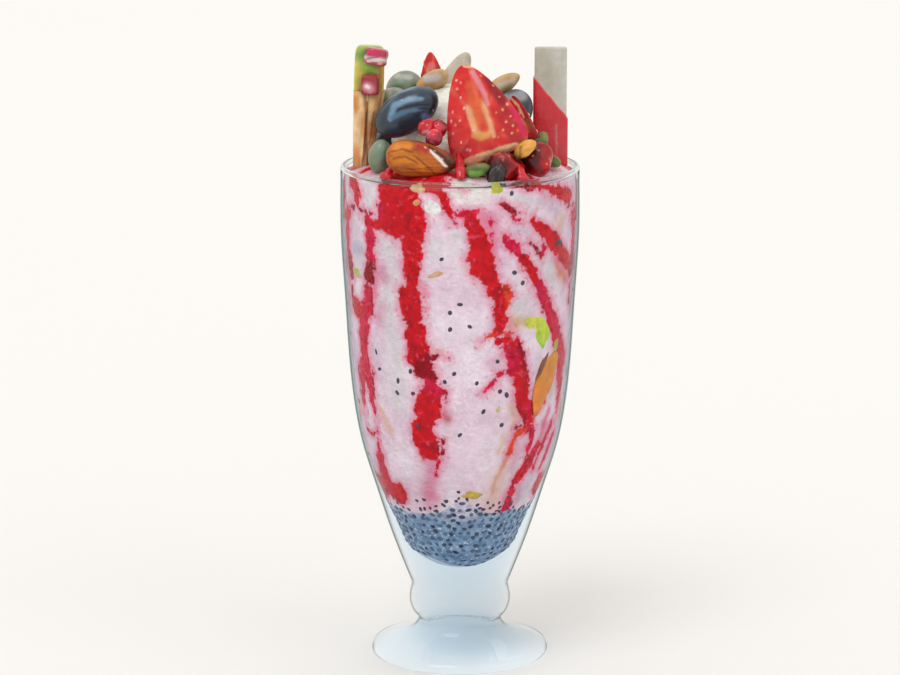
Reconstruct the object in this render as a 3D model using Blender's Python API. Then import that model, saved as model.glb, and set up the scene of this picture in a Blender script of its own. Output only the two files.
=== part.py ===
"""Strawberry falooda in a footed sundae glass.

Soaked basil seeds lie in the bottom of the glass, pink milk ice streaked with strawberry syrup
fills it, and a scoop of vanilla ice, fruit, nuts and two wafers are heaped on top.

Metres, Z up: the foot's centre is the origin and the front is towards -Y. The sizes below are in
millimetres and become metres in solid(). Angles round the glass run from the front to the right.
"""

import math

import bmesh
import bpy
import numpy as np
from mathutils import Euler, Matrix, Vector, noise

MM = 0.001
GAP = 0.3
SIDES = 36
SHARP_EDGE = 50  # degrees between two faces that are shaded with an edge

# The glass: half-sections as (height, radius)
RIM_HEIGHT = 180.0
WAIST_HEIGHT = 26.3
BOWL = (
    (WAIST_HEIGHT, 17.4),
    (44.5, 24.4),
    (62.6, 30.3),
    (80.6, 35.7),
    (98.5, 38.7),
    (134.0, 41.3),
    (157.0, 42.6),
    (RIM_HEIGHT, 42.5),
)
NECK_HEIGHT = 13.5
NECK_RADIUS = 15.0
KNOP = ((NECK_HEIGHT, NECK_RADIUS), (16.5, 17.3), (20.2, 18.3), (WAIST_HEIGHT, 17.4))
FOOT_RADIUS = 32.0
FOOT_EDGE = 3.8
LIP_RADIUS = 1.0
THIN_WALL = 2 * LIP_RADIUS
THICK_WALL = 4.4
WALL_THICKENS_BELOW = 68.0
CAVITY_FLOOR = 32.5
CAVITY_ROUND = 11.5
INSIDE_ROWS = 9

# What fills it
SEED_LEVEL = 57.5
SEED_BUMP = 0.9
FILL_LEVEL = 176.5
MOUND = 6.0
BACK_DIP = 8.0
SCOOP_PLACE = (-1.0, 8.0, 184.0)
SCOOP_RADIUS = 24.0

PAINTS = {
    "glass": ((0.86, 0.93, 0.95), 0.03),
    "basil_seed": ((0.10, 0.15, 0.25), 0.25),
    "pink_milk": ((0.72, 0.48, 0.56), 0.5),
    "vanilla_ice": ((0.80, 0.74, 0.62), 0.55),
    "strawberry": ((0.62, 0.04, 0.04), 0.3),
    "black_grape": ((0.03, 0.035, 0.05), 0.15),
    "green_grape": ((0.16, 0.20, 0.10), 0.3),
    "almond": ((0.42, 0.13, 0.03), 0.45),
    "pomegranate": ((0.65, 0.03, 0.06), 0.12),
    "pistachio": ((0.20, 0.22, 0.05), 0.5),
    "raisin": ((0.03, 0.02, 0.02), 0.4),
    "cherry": ((0.24, 0.01, 0.01), 0.15),
    "cashew": ((0.62, 0.46, 0.27), 0.5),
    "yellow_jelly": ((0.58, 0.38, 0.05), 0.2),
    "green_jelly": ((0.40, 0.45, 0.04), 0.2),
    "pink_jelly": ((0.60, 0.08, 0.16), 0.2),
    "wafer": ((0.56, 0.33, 0.15), 0.75),
}


def clear_scene():
    for obj in list(bpy.data.objects):
        bpy.data.objects.remove(obj)


def paint(name):
    """The named finish: a Principled shader with its colour and roughness."""
    material = bpy.data.materials.get(name)
    if material:
        return material
    colour, roughness = PAINTS[name]
    material = bpy.data.materials.new(name)
    material.use_nodes = True
    shader = material.node_tree.nodes["Principled BSDF"]
    shader.inputs["Base Color"].default_value = (*colour, 1)
    shader.inputs["Roughness"].default_value = roughness
    shader.inputs["Metallic"].default_value = 0
    if name == "glass":
        shader.inputs["Transmission Weight"].default_value = 1
    return material


def through(points, at):
    """A smooth curve through (place, value) points, its slope at each the mean of the two beside it."""
    place, value = np.array(points, float).T
    chord = np.diff(value) / np.diff(place)
    slope = np.concatenate([chord[:1], (chord[1:] + chord[:-1]) / 2, chord[-1:]])
    k = np.clip(np.searchsorted(place, at, side="right") - 1, 0, len(place) - 2)
    step = place[k + 1] - place[k]
    t = (at - place[k]) / step
    start = (1 + 2 * t) * (1 - t) ** 2 * value[k] + t * (1 - t) ** 2 * step * slope[k]
    return start + t * t * (3 - 2 * t) * value[k + 1] + t * t * (t - 1) * step * slope[k + 1]


def ease(share):
    share = np.clip(share, 0, 1)
    return share * share * (3 - 2 * share)


def wobble(points, size, seed=0.0):
    """Smooth noise from -1 to 1 at each point, with lumps of about this size."""
    return np.array([noise.noise(Vector(p) / size + Vector((seed, seed, seed))) for p in points])


def solid(name, points, faces, finish):
    """An object from points in millimetres, its faces turned outwards and shaded smooth."""
    mesh = bpy.data.meshes.new(name)
    mesh.from_pydata([tuple(MM * p for p in point) for point in points], [], faces)
    build = bmesh.new()
    build.from_mesh(mesh)
    bmesh.ops.recalc_face_normals(build, faces=build.faces)
    build.to_mesh(mesh)
    build.free()
    mesh.shade_smooth()
    mesh.set_sharp_from_angle(angle=math.radians(SHARP_EDGE))
    mesh.materials.append(paint(finish))
    obj = bpy.data.objects.new(name, mesh)
    bpy.context.scene.collection.objects.link(obj)
    return obj


def from_rings(name, rings, finish):
    """A closed solid from rings of points, one inside or above the next; a ring of one point is a pole."""
    starts = np.cumsum([0] + [len(ring) for ring in rings])
    faces = []
    for below, above, low, high in zip(rings, rings[1:], starts, starts[1:]):
        count = max(len(below), len(above))
        for i in range(count):
            j = (i + 1) % count
            under, over = low + np.array([i, j]) % len(below), high + np.array([j, i]) % len(above)
            faces.append(list(dict.fromkeys(int(corner) for corner in (*under, *over))))
    return solid(name, np.concatenate(rings), faces, finish)


def circle(radius, height, sides=SIDES):
    """A ring of points; radius and height may differ from point to point. It starts at the front."""
    if np.ndim(radius) == 0 and radius == 0:
        return np.array([[0.0, 0.0, float(np.mean(height))]])
    angle = np.arange(sides) * 2 * math.pi / sides
    return np.stack([radius * np.sin(angle), -radius * np.cos(angle), height + 0 * angle], axis=1)


# ---- The glass ----


def outer_radius(height):
    return through(BOWL, height)


def inner_radius(height):
    """The cavity: the bowl less its wall, closed by a round floor."""
    thick = ease((WALL_THICKENS_BELOW - height) / (WALL_THICKENS_BELOW - CAVITY_FLOOR - CAVITY_ROUND))
    side = outer_radius(height) - THIN_WALL - (THICK_WALL - THIN_WALL) * thick
    depth = np.clip((CAVITY_FLOOR + CAVITY_ROUND - height) / CAVITY_ROUND, 0, 1)
    return side * np.sqrt(1 - depth * depth)


def glass():
    foot = [(0.0, 0.0), (FOOT_RADIUS - 2.5, 0.0), (FOOT_RADIUS - 0.6, 0.6), (FOOT_RADIUS, 2.0)]
    for height in np.linspace(FOOT_EDGE, NECK_HEIGHT, 5)[:-1]:
        flare = ((NECK_HEIGHT - height) / (NECK_HEIGHT - FOOT_EDGE)) ** 2.4
        foot.append((NECK_RADIUS + (FOOT_RADIUS - 0.8 - NECK_RADIUS) * flare, height))
    knop = [(through(KNOP, height), height) for height in np.linspace(NECK_HEIGHT, WAIST_HEIGHT, 5)]
    lip_height = RIM_HEIGHT - LIP_RADIUS
    bowl = [(outer_radius(height), height) for height in np.linspace(WAIST_HEIGHT, lip_height, 9)[1:]]
    lip_centre = outer_radius(RIM_HEIGHT) - LIP_RADIUS
    lip = [
        (lip_centre + LIP_RADIUS * math.cos(turn), lip_height + LIP_RADIUS * math.sin(turn))
        for turn in np.linspace(0, math.pi, 5)[1:-1]
    ]
    cavity_top = CAVITY_FLOOR + CAVITY_ROUND
    inside = [(inner_radius(height), height) for height in np.linspace(lip_height, cavity_top, INSIDE_ROWS)]
    floor = [
        (inner_radius(height), height)
        for height in cavity_top - CAVITY_ROUND * np.sin(np.linspace(0, math.pi / 2, 5)[1:-1])
    ]
    profile = foot + knop + bowl + lip + inside + floor + [(0.0, CAVITY_FLOOR)]
    return from_rings("glass", [circle(*point) for point in profile], "glass")


# ---- What fills it ----


def filling_radius(height):
    """The cavity's radius less the gap kept to the glass, as the same straight-sided rows as the glass."""
    rows = np.linspace(CAVITY_FLOOR + CAVITY_ROUND, RIM_HEIGHT - LIP_RADIUS, INSIDE_ROWS)
    straight = np.interp(height, rows, inner_radius(rows))
    low = np.clip((rows[0] - height) / 3, 0, 1)
    nearest = np.where(low > 0, inner_radius(height), np.minimum(straight, inner_radius(height)))
    return nearest - GAP - 0.1 - 0.5 * low


def seed_surface(ring):
    """Where the seeds end and the milk ice begins: uneven, with a heap just right of the front."""
    heap = 4.5 * np.exp(-((ring[:, 0] - 2) ** 2 + (ring[:, 1] + 22) ** 2) / 60)
    return SEED_LEVEL + heap + 2.2 * wobble(ring * (1, 1, 0), 9.0, 3.0)


def basil_seeds():
    """Soaked seeds: a body whose side has a bump for each seed, staggered from row to row."""
    rings = [circle(0, CAVITY_FLOOR + 0.8)]
    sides = 2 * SIDES
    low = CAVITY_FLOOR + 1.5
    rim = circle(filling_radius(SEED_LEVEL) - SEED_BUMP, 0, sides)
    top = seed_surface(rim)
    rows = 8
    for row in range(rows):
        height = low + (top - low) * row / (rows - 1)
        bump = SEED_BUMP * ((np.arange(sides) + row) % 2)
        rings.append(circle(np.maximum(filling_radius(height) - SEED_BUMP + bump, 1.0), height, sides))
    for share in (0.75, 0.4, 0):
        ring = circle(share * np.mean(filling_radius(top)), 0, sides)
        bumps = 0.6 * ((np.arange(len(ring)) % 2) - 0.5)
        rings.append(ring + np.stack([0 * bumps, 0 * bumps, seed_surface(ring) + bumps], axis=1))
    return from_rings("basil_seeds", rings, "basil_seed")


def fill_surface(ring):
    """The top of the milk ice: a low mound that dips at the back."""
    out = np.hypot(ring[:, 0], ring[:, 1])
    behind = np.degrees(np.arctan2(ring[:, 0], ring[:, 1]))
    dip = BACK_DIP * np.exp(-((behind / 42) ** 4)) * ease((out - 18) / 12)
    mound = MOUND * (1 - np.clip(out / 40, 0, 1) ** 6)
    return FILL_LEVEL + mound - dip + 0.5 * wobble(ring * (1, 1, 0), 8.0, 7.0)


def milk_ice():
    """Pink milk ice from the seeds to the heap, against the wall all round."""
    rings = []
    floor_edge = circle(filling_radius(SEED_LEVEL), 0)
    bottom = seed_surface(floor_edge) + GAP + 1.3
    for share in (0, 0.35, 0.7):
        ring = circle(share * filling_radius(SEED_LEVEL), 0)
        ring[:, 2] = seed_surface(ring) + GAP + 1.3
        rings.append(ring)
    top = fill_surface(circle(filling_radius(FILL_LEVEL), 0))
    rows = 14
    for row in range(rows):
        height = bottom + (top - bottom) * row / (rows - 1)
        rings.append(circle(filling_radius(height), height))
    for share in (0.92, 0.76, 0.5, 0.25, 0):
        ring = circle(share * filling_radius(FILL_LEVEL), 0)
        ring[:, 2] = fill_surface(ring)
        rings.append(ring)
    return from_rings("milk_ice", rings, "pink_milk")


# ---- Shapes of the toppings, each along its own X axis ----


def oval(t):
    return math.sqrt(max(0.0, 1 - (2 * t - 1) ** 2))


def egg(t):
    """Blunt at the start and drawn to a point at the end, as an almond is."""
    return oval(t) * (1.16 - 0.42 * t - 0.12 * math.sin(math.pi * t))


def drop(t):
    return 1.05 * math.sin(math.pi * t**0.8) ** 0.8


def berry(t):
    """A strawberry's side from the blunt leaf end to the tip."""
    return max(0.0, math.sin(math.pi * t**0.4)) ** 0.54


def block(t):
    return (1 - abs(2 * t - 1) ** 6) ** (1 / 6)


def round_section(turn, t):
    return math.cos(turn), math.sin(turn)


def square_section(turn, t):
    c, s = math.cos(turn), math.sin(turn)
    size = (abs(c) ** 5 + abs(s) ** 5) ** -0.2
    return c * size, s * size


def halved_section(turn, t):
    """A half: round at the back, and a cut face at the front that stands a little proud."""
    c, s = math.cos(turn), math.sin(turn)
    return c, (s if s > 0 else 0.1 * s)


def faceted_section(turn, t):
    size = 1 + 0.07 * math.cos(5 * turn + 3 * t)
    return size * math.cos(turn), size * math.sin(turn)


def wrinkled_section(turn, t):
    size = 1 + 0.13 * math.cos(4 * turn + 7 * t) * math.sin(math.pi * t) + 0.05 * math.cos(9 * turn)
    return size * math.cos(turn), size * math.sin(turn)


def spindle(
    name, finish, size, place, tilt, side=oval, section=round_section, sides=11, rows=6, bend=0.0, lean=0
):
    """A topping: its side curve along X and its section round X, bent, turned, leant back and placed.

    The turns of tilt and lean are in degrees.
    """
    length, width, height = size
    rings = []
    for row in range(rows + 1):
        t = (1 - math.cos(math.pi * row / rows)) / 2
        x = length * (t - 0.5)
        if row in (0, rows):
            rings.append(np.array([[x, bend * (2 * t - 1) ** 2, 0.0]]))
            continue
        ring = []
        for i in range(sides):
            across, up = section(2 * math.pi * i / sides, t)
            y = across * side(t) * width / 2 + bend * (2 * t - 1) ** 2
            ring.append((x, y, up * side(t) * height / 2))
        rings.append(np.array(ring))
    obj = from_rings(name, rings, finish)
    turned = Euler([math.radians(a) for a in tilt]).to_matrix().to_4x4()
    leant = Matrix.Rotation(math.radians(-lean), 4, "X") @ turned
    obj.matrix_world = Matrix.Translation(MM * Vector(place)) @ leant
    return obj


# ---- Cutting and joining ----


def settle(obj):
    """Writes the object's place into its mesh, so that later cuts see it where it is."""
    bpy.context.view_layer.update()
    obj.data.transform(obj.matrix_world)
    obj.matrix_world.identity()


def baked(obj):
    """Replaces the object's mesh by its evaluated one and drops the modifiers."""
    graph = bpy.context.evaluated_depsgraph_get()
    graph.update()
    mesh = bpy.data.meshes.new_from_object(obj.evaluated_get(graph))
    obj.modifiers.clear()
    obj.data = mesh


def combine(host, others, operation, solver="EXACT"):
    """One Boolean of the host with the other meshes, as a collection that is then removed."""
    group = bpy.data.collections.new("operands")
    bpy.context.scene.collection.children.link(group)
    for mesh in others:
        group.objects.link(bpy.data.objects.new("operand", mesh))
    joining = host.modifiers.new("combine", "BOOLEAN")
    joining.operation = operation
    joining.operand_type = "COLLECTION"
    joining.collection = group
    joining.solver = solver
    baked(host)
    for other in list(group.objects):
        bpy.data.objects.remove(other)
    bpy.data.collections.remove(group)


def bed_of(obj):
    """A mesh that stands the gap proud of the piece, to cut its bed with."""
    proud, most_at_a_corner = MM * (GAP + 0.05), 1.6
    mesh = obj.data.copy()
    build = bmesh.new()
    build.from_mesh(mesh)
    moves = [
        vertex.normal * proud * min(vertex.calc_shell_factor(), most_at_a_corner) for vertex in build.verts
    ]
    for vertex, move in zip(build.verts, moves):
        vertex.co += move
    build.to_mesh(mesh)
    build.free()
    return mesh


def box(mesh):
    points = np.array([vertex.co for vertex in mesh.vertices])
    return points.min(axis=0), points.max(axis=0)


def press_into(host, beds):
    """Cuts the bed of each piece that reaches into the host, one at a time.

    The MANIFOLD solver does it, because EXACT loses the scoop after a few of its many beds.
    """
    for bed in beds:
        (low, high), (bed_low, bed_high) = box(host.data), box(bed)
        if np.all(low < bed_high) and np.all(bed_low < high):
            combine(host, [bed], "DIFFERENCE", "MANIFOLD")


# ---- The toppings ----


def scoop():
    """A ball of vanilla ice with a slightly ragged skin."""
    size = [2 * SCOOP_RADIUS] * 3
    ball = spindle("ice_cream_scoop", "vanilla_ice", size, SCOOP_PLACE, (0, -90, 0), sides=16, rows=10)
    points = np.array([vertex.co for vertex in ball.data.vertices]) / MM
    ragged = 1 + 0.03 * wobble(points, 7.0, 11.0)
    for vertex, size in zip(ball.data.vertices, ragged):
        vertex.co *= size
    return ball


def half_strawberry(name, size, place, tilt, sides=12, rows=8, lean=8):
    """Half a berry standing on its leaf end. Tilted by 0 it stands straight, its cut face to the front."""
    turn = (-90, -90 - tilt[0], tilt[1])
    return spindle(name, "strawberry", size, place, turn, berry, halved_section, sides, rows, 0.0, lean)


def strawberries():
    """The big half at the front, a slice beside it, and two halves behind."""
    return [
        half_strawberry("strawberry_half_front", (34, 28, 24), (6.2, -20.5, 201.7), (19, 0), 18, 11),
        half_strawberry("strawberry_slice", (22, 12, 8), (21.0, -13.5, 195.5), (14, -20)),
        half_strawberry("strawberry_half_back", (16, 9.5, 9), (-10.2, 20.0, 209.4), (4, 0)),
        half_strawberry("strawberry_half_rear", (24, 19, 16), (20.5, 20.5, 191.5), (8, 135), lean=0),
    ]


def grapes():
    black, green = "black_grape", "green_grape"
    front_size, front_place = (25, 15, 15), (-18.7, -13.0, 200.5)
    return [
        spindle("black_grape_front", black, front_size, front_place, (0, -33, -8), sides=16, rows=9),
        spindle("black_grape_back", black, (15, 13, 13), (19.2, -1.0, 199.5), (0, -70, 0)),
        spindle("black_grape_rear", black, (19, 15, 15), (-27.0, 13.0, 184.5), (0, -20, 60)),
        spindle("green_grape_left", green, (15, 13, 13), (-24.0, 5.0, 199.5), (0, -60, 0)),
        spindle("green_grape_back", green, (14, 12.4, 12.4), (-20.0, 14.5, 205.0), (0, -30, 30)),
        spindle("green_grape_low", green, (12, 8, 8), (-28.0, -19.5, 185.8), (0, -80, 0), sides=10, rows=6),
    ]


def nuts():
    """Almonds, cashews and pistachios, with the raisins that lie among them."""
    front_size, front_place = (24.5, 14.5, 9), (-13.5, -30.5, 186.4)
    pieces = [
        spindle("almond_front", "almond", front_size, front_place, (78, 9, 4), egg, sides=16, rows=9),
        spindle("blanched_almond", "cashew", (18, 10, 7), (-1.5, 16.0, 209.8), (80, -60, 10), egg),
        spindle("almond_rear", "almond", (22, 13, 8), (14.0, 26.5, 181.0), (60, -12, 200), egg),
        spindle("cashew_back", "cashew", (17, 7.5, 7), (13.5, 4.5, 206.0), (0, -40, 25), bend=-3.5),
        spindle("cashew_top", "cashew", (13, 7, 7), (-9.0, 6.0, 209.2), (0, -25, -20), bend=-2.5),
        spindle("cashew_rear", "cashew", (17, 7.5, 7), (5.0, 25.0, 202.0), (0, 20, 160), bend=3.0),
    ]
    for name, size, place, tilt in (
        ("pistachio_front", (9, 6.4, 6), (6.4, -33.2, 183.2), (0, -8, 6)),
        ("pistachio_right", (8.5, 6.5, 6.5), (28.0, -14.5, 190.0), (0, -50, 40)),
        ("pistachio_edge", (7, 5, 5), (33.0, -14.0, 183.0), (0, 20, 50)),
        ("pistachio_rear", (9, 6.5, 6), (-15.5, 25.5, 194.0), (0, 30, 130)),
    ):
        pieces.append(spindle(name, "pistachio", size, place, tilt, egg, sides=10, rows=6))
    for name, size, place, tilt in (
        ("raisin_front", (11, 6.6, 6.6), (12.6, -34.0, 180.2), (0, -75, 10)),
        ("raisin_rear", (12, 8, 8), (-18.5, 28.0, 180.5), (0, 15, 140)),
    ):
        pieces.append(spindle(name, "raisin", size, place, tilt, oval, wrinkled_section, 10, 6))
    return pieces


def candied_fruit():
    cherry = "cherry"
    pieces = [
        spindle("cherry_left", cherry, (15, 13, 11), (15.5, -27.0, 183.0), (0, 0, 10), drop),
        spindle("cherry_right", cherry, (13, 12, 12), (26.8, -20.0, 184.5), (0, 10, 60), drop),
        spindle("cherry_rear", cherry, (15, 14, 13), (-6.5, 29.5, 182.0), (0, 0, 120), drop),
    ]
    for name, finish, size, place, tilt in (
        ("yellow_jelly", "yellow_jelly", (9, 6, 4.5), (22.6, -27.6, 189.6), (20, -35, 10)),
        ("pink_jelly_rear", "pink_jelly", (9, 7, 7), (30.5, 17.0, 181.5), (10, 20, 70)),
        ("cone_jelly_green", "green_jelly", (19, 7, 10.6), (-32.0, -2.6, 213.2), (0, -88, 0)),
        ("cone_jelly_red", cherry, (7, 5, 6.6), (-31.6, -8.2, 209.4), (0, -88, 0)),
        ("cone_jelly_pink", "pink_jelly", (6, 5, 7.5), (-29.4, -7.6, 219.6), (0, -80, 0)),
    ):
        pieces.append(spindle(name, finish, size, place, tilt, block, square_section, 12, 6))
    return pieces


def pomegranate(name, centre, places):
    """A cluster of arils joined into one piece."""
    arils = []
    for i, (x, y, z) in enumerate(places):
        place = (centre[0] + x, centre[1] + y, centre[2] + z)
        tilt = (40 * i, -50 + 47 * i, 80 * i)
        aril = spindle(name, "pomegranate", (7.2, 5.8, 5.6), place, tilt, drop, faceted_section, 8, 5)
        settle(aril)
        arils.append(aril)
    cluster, *others = arils
    meshes = [other.data for other in others]
    for other in others:
        bpy.data.objects.remove(other)
    combine(cluster, meshes, "UNION")
    cluster.name = name
    return cluster


def wafer_cone():
    """A slender rolled wafer, its lap showing as a step all the way down, open at the top."""
    tip, top = (-36.2, -5.0, 165.0), (-31.8, -4.0, 207.0)
    sides, rows = 16, 5
    turn = np.arange(sides) * 2 * math.pi / sides
    lap = 1 + 0.12 * (np.arange(sides) / sides) - 0.06
    rings = []

    def ring(share, radius):
        centre = np.array(tip) + share * (np.array(top) - np.array(tip))
        around = np.stack([np.sin(turn), -np.cos(turn), 0 * turn], axis=1)
        return centre + radius * lap[:, None] * around

    rings.append(ring(0, 1.2).mean(axis=0, keepdims=True))
    for row in range(rows):
        share = row / (rows - 1)
        rings.append(ring(share, 1.3 + 4.3 * share**0.8))
    rings.append(ring(1.0, 4.5))
    rings.append(ring(0.86, 3.9))
    rings.append(ring(0.86, 3.9).mean(axis=0, keepdims=True))
    return from_rings("wafer_cone", rings, "wafer")


def wafer_finger():
    """An upright wafer dipped aslant in strawberry coating, which stands a little proud of it."""
    left, right, front, back, low, top = 26.0, 38.4, 4.2, 8.6, 170.0, 221.0
    coat_left, coat_right, skin, rounding = 211.0, 196.0, 0.45, 0.7

    def slab(name, margin, corners):
        """A slab with rounded edges, given the (x, z) corners of its face."""
        build = bmesh.new()
        near = [build.verts.new((MM * x, MM * (front + margin), MM * z)) for x, z in corners]
        face = build.faces.new(near)
        grown = bmesh.ops.extrude_face_region(build, geom=[face])
        moved = [item for item in grown["geom"] if isinstance(item, bmesh.types.BMVert)]
        bmesh.ops.translate(build, verts=moved, vec=(0, MM * (back - front - 2 * margin), 0))
        edges = build.edges[:]
        bmesh.ops.bevel(build, geom=edges, offset=MM * rounding, segments=2, profile=0.5, affect="EDGES")
        bmesh.ops.recalc_face_normals(build, faces=build.faces)
        mesh = bpy.data.meshes.new(name)
        build.to_mesh(mesh)
        build.free()
        mesh.materials.append(paint("wafer"))
        obj = bpy.data.objects.new(name, mesh)
        bpy.context.scene.collection.objects.link(obj)
        return obj

    edge_left, edge_right = left + skin, right - skin
    face = [(edge_left, low), (edge_right, low), (edge_right, top), (edge_left, top)]
    plain = slab("wafer_finger", skin, face)
    dipped = [(left, low - skin), (right, low - skin), (right, coat_right), (left, coat_left)]
    coating = slab("coating", 0, dipped)
    coat = coating.data
    bpy.data.objects.remove(coating)
    combine(plain, [coat], "UNION")
    return plain


def toppings():
    """Every piece of the heap, the ones in front first. Each is cut clear of those before it."""
    pieces = strawberries() + nuts() + grapes() + [wafer_cone(), wafer_finger()] + candied_fruit()
    above_almond = ((-3, 0, 1.4), (1.4, 1.5, 0.8), (-0.6, -1.6, -2.4))
    pieces.append(pomegranate("pomegranate_front", (-8.6, -25.8, 195.8), above_almond))
    above_cherry = ((-2.5, 0, 1), (2, 0.6, 0), (0, -1, -3))
    pieces.append(pomegranate("pomegranate_rear", (-2.0, 31.2, 195.6), above_cherry))
    for piece in pieces:
        settle(piece)
    beds = [bed_of(piece) for piece in pieces]
    for i, piece in enumerate(pieces):
        press_into(piece, beds[:i])
    return beds


def main():
    clear_scene()
    glass()
    basil_seeds()
    milk = milk_ice()
    ball = scoop()
    settle(ball)
    beds = toppings()
    press_into(milk, beds + [bed_of(ball)])
    press_into(ball, beds)


main()
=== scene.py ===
# %% [markdown]
# # Strawberry falooda in a sundae glass
#
# A falooda is a tall glass of soaked basil seeds and pink milk ice, streaked with strawberry syrup
# and heaped with ice cream, fruit and nuts. This lesson dresses a CAD model of one. The CAD solids
# are coarse, so each piece of food is made again as a smooth surface, a formula of two parameters
# worked out with numpy on a grid, in the same place as its solid.

# %% Load the frame
import math

import bpy
import numpy as np
from mathutils import Euler, Matrix, Vector


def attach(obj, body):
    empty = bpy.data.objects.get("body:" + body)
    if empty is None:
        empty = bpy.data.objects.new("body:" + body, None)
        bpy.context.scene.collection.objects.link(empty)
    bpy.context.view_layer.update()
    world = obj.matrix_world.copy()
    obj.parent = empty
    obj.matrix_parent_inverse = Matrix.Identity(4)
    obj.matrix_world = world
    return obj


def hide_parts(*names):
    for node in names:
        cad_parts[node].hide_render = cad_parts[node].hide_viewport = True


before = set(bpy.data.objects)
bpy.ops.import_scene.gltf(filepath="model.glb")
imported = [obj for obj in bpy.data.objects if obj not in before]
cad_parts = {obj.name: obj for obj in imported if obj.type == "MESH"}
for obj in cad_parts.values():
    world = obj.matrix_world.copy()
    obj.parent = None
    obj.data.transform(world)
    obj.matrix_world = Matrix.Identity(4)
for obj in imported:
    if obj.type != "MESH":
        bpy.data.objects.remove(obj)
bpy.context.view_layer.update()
MM = 0.001

# %% [markdown]
# ## Tools for numbers
#
# Food is never even, so every shape and colour below is disturbed a little by smooth noise. Value
# noise is the simplest kind: random values on a lattice, blended smoothly between its points. It is
# worked out from the place alone, so it gives the same result on every run.

# %% Smooth noise and blending
def lumps(points, size, seed=0):
    """Smooth noise from -1 to 1: hashed values on a lattice of this spacing, with smooth weights between."""
    place = np.asarray(points, float) / size + 500.5
    cell = np.floor(place).astype(np.int64)
    part = place - cell
    part = part * part * (3 - 2 * part)
    total = np.zeros(place.shape[:-1])
    for corner in np.ndindex(2, 2, 2):
        x, y, z = np.moveaxis(cell + corner, -1, 0)
        mixed = (x * 73856093) ^ (y * 19349663) ^ (z * 83492791) ^ ((seed + 1) * 961748927)
        mixed = ((mixed ^ (mixed >> 13)) & 0xFFFFFF) * 1274126177
        value = ((mixed ^ (mixed >> 16)) & 0xFFFF) / 32767.5 - 1
        total += value * np.prod(np.where(corner, part, 1 - part), axis=-1)
    return total


def ease(share):
    """0 below 0, 1 above 1, and the smooth curve 3s^2 - 2s^3 between."""
    share = np.clip(share, 0, 1)
    return share * share * (3 - 2 * share)


def bump(value, middle, width):
    """A bell curve of height 1 at the middle, down to 1/e at this width from it."""
    return np.exp(-(((value - middle) / width) ** 2))


STUDIO_LIGHT = 1.12


def screen_light(red, green, blue):
    """0-255 screen values as the linear light that shaders use."""
    screen = np.array([red, green, blue]) / 255
    return np.where(screen <= 0.04045, screen / 12.92, ((screen + 0.055) / 1.055) ** 2.4)


def colour(red, green, blue):
    """The linear colour of a surface that shows these screen values under the studio's light."""
    return screen_light(red, green, blue) / STUDIO_LIGHT


def mix(first, second, share):
    """The first colour where share is 0 and the second where it is 1, point by point."""
    share = np.clip(np.asarray(share, float), 0, 1)[..., None]
    return first * (1 - share) + second * share


def unit(vectors):
    """Each vector divided by its length."""
    return vectors / np.linalg.norm(vectors, axis=-1, keepdims=True)


print("noise ranges from", lumps(np.random.default_rng(1).uniform(0, 90, (4000, 3)), 7.0).min().round(2))

# %% [markdown]
# ## Tools for meshes
#
# A body is a stack of rings of points. Quads join each ring to the next, and a fan of triangles
# closes the first and the last. The sign of the volume says whether the faces point outwards, and
# turns them round where they don't. Colours and other values ride on the points as attributes,
# which shaders can read.

# %% Rings to a mesh
def closed_body(rings, ends=None):
    """Points, quads and triangles of rings (rows, columns, 3) closed by a fan at each end."""
    rows, columns = rings.shape[:2]
    if ends is None:
        ends = np.stack([rings[0].mean(axis=0), rings[-1].mean(axis=0)])
    points = np.concatenate([rings.reshape(-1, 3), ends])
    here = np.arange(rows * columns).reshape(rows, columns)
    beside = np.roll(here, -1, axis=1)
    quads = np.stack([here[:-1], beside[:-1], beside[1:], here[1:]], axis=-1).reshape(-1, 4)
    start = np.stack([np.full(columns, rows * columns), beside[0], here[0]], axis=-1)
    end = np.stack([np.full(columns, rows * columns + 1), here[-1], beside[-1]], axis=-1)
    return points, quads, np.concatenate([start, end])


def facing_out(points, quads, triangles):
    """The faces, turned round if the volume they enclose comes out negative."""
    all_triangles = np.concatenate([quads[:, :3], quads[:, [0, 2, 3]], triangles])
    a, b, c = (points[all_triangles[:, i]] for i in range(3))
    if np.einsum("ij,ij->i", a, np.cross(b, c)).sum() < 0:
        return quads[:, ::-1], triangles[:, ::-1]
    return quads, triangles


print("three rings of four points give", len(closed_body(np.zeros((3, 4, 3)))[1]), "quads")

# %% A piece from a body
ATTRIBUTE_KINDS = {1: ("FLOAT", "value"), 3: ("FLOAT_VECTOR", "vector")}


def piece(name, body, finish, values, replaces=None, sharp=None):
    """A finished object from a body in millimetres, with its attributes, material and rider; it hides the
    node it replaces.
    """
    points, quads, triangles = body
    quads, triangles = facing_out(points, quads, triangles)
    mesh = bpy.data.meshes.new(name)
    mesh.from_pydata((points * MM).tolist(), [], quads.tolist() + triangles.tolist())
    for key, value in values.items():
        width = 1 if np.ndim(value) == 1 else 3
        kind, field = ATTRIBUTE_KINDS[width]
        attribute = mesh.attributes.new(key, kind, "POINT")
        attribute.data.foreach_set(field, np.ravel(np.asarray(value, np.float32)))
    mesh.shade_smooth()
    if sharp:
        mesh.set_sharp_from_angle(angle=math.radians(sharp))
    mesh.materials.append(finish)
    obj = bpy.data.objects.new(name, mesh)
    bpy.context.scene.collection.objects.link(obj)
    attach(obj, "root")
    if replaces:
        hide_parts(replaces)
    return obj


# %% Joining and repeating bodies
def joined(bodies):
    """Several (points, quads, triangles) as one."""
    shifts = np.cumsum([0] + [len(body[0]) for body in bodies[:-1]])
    return (
        np.concatenate([body[0] for body in bodies]),
        np.concatenate([body[1] + shift for body, shift in zip(bodies, shifts)]),
        np.concatenate([body[2] + shift for body, shift in zip(bodies, shifts)]),
    )


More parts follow.
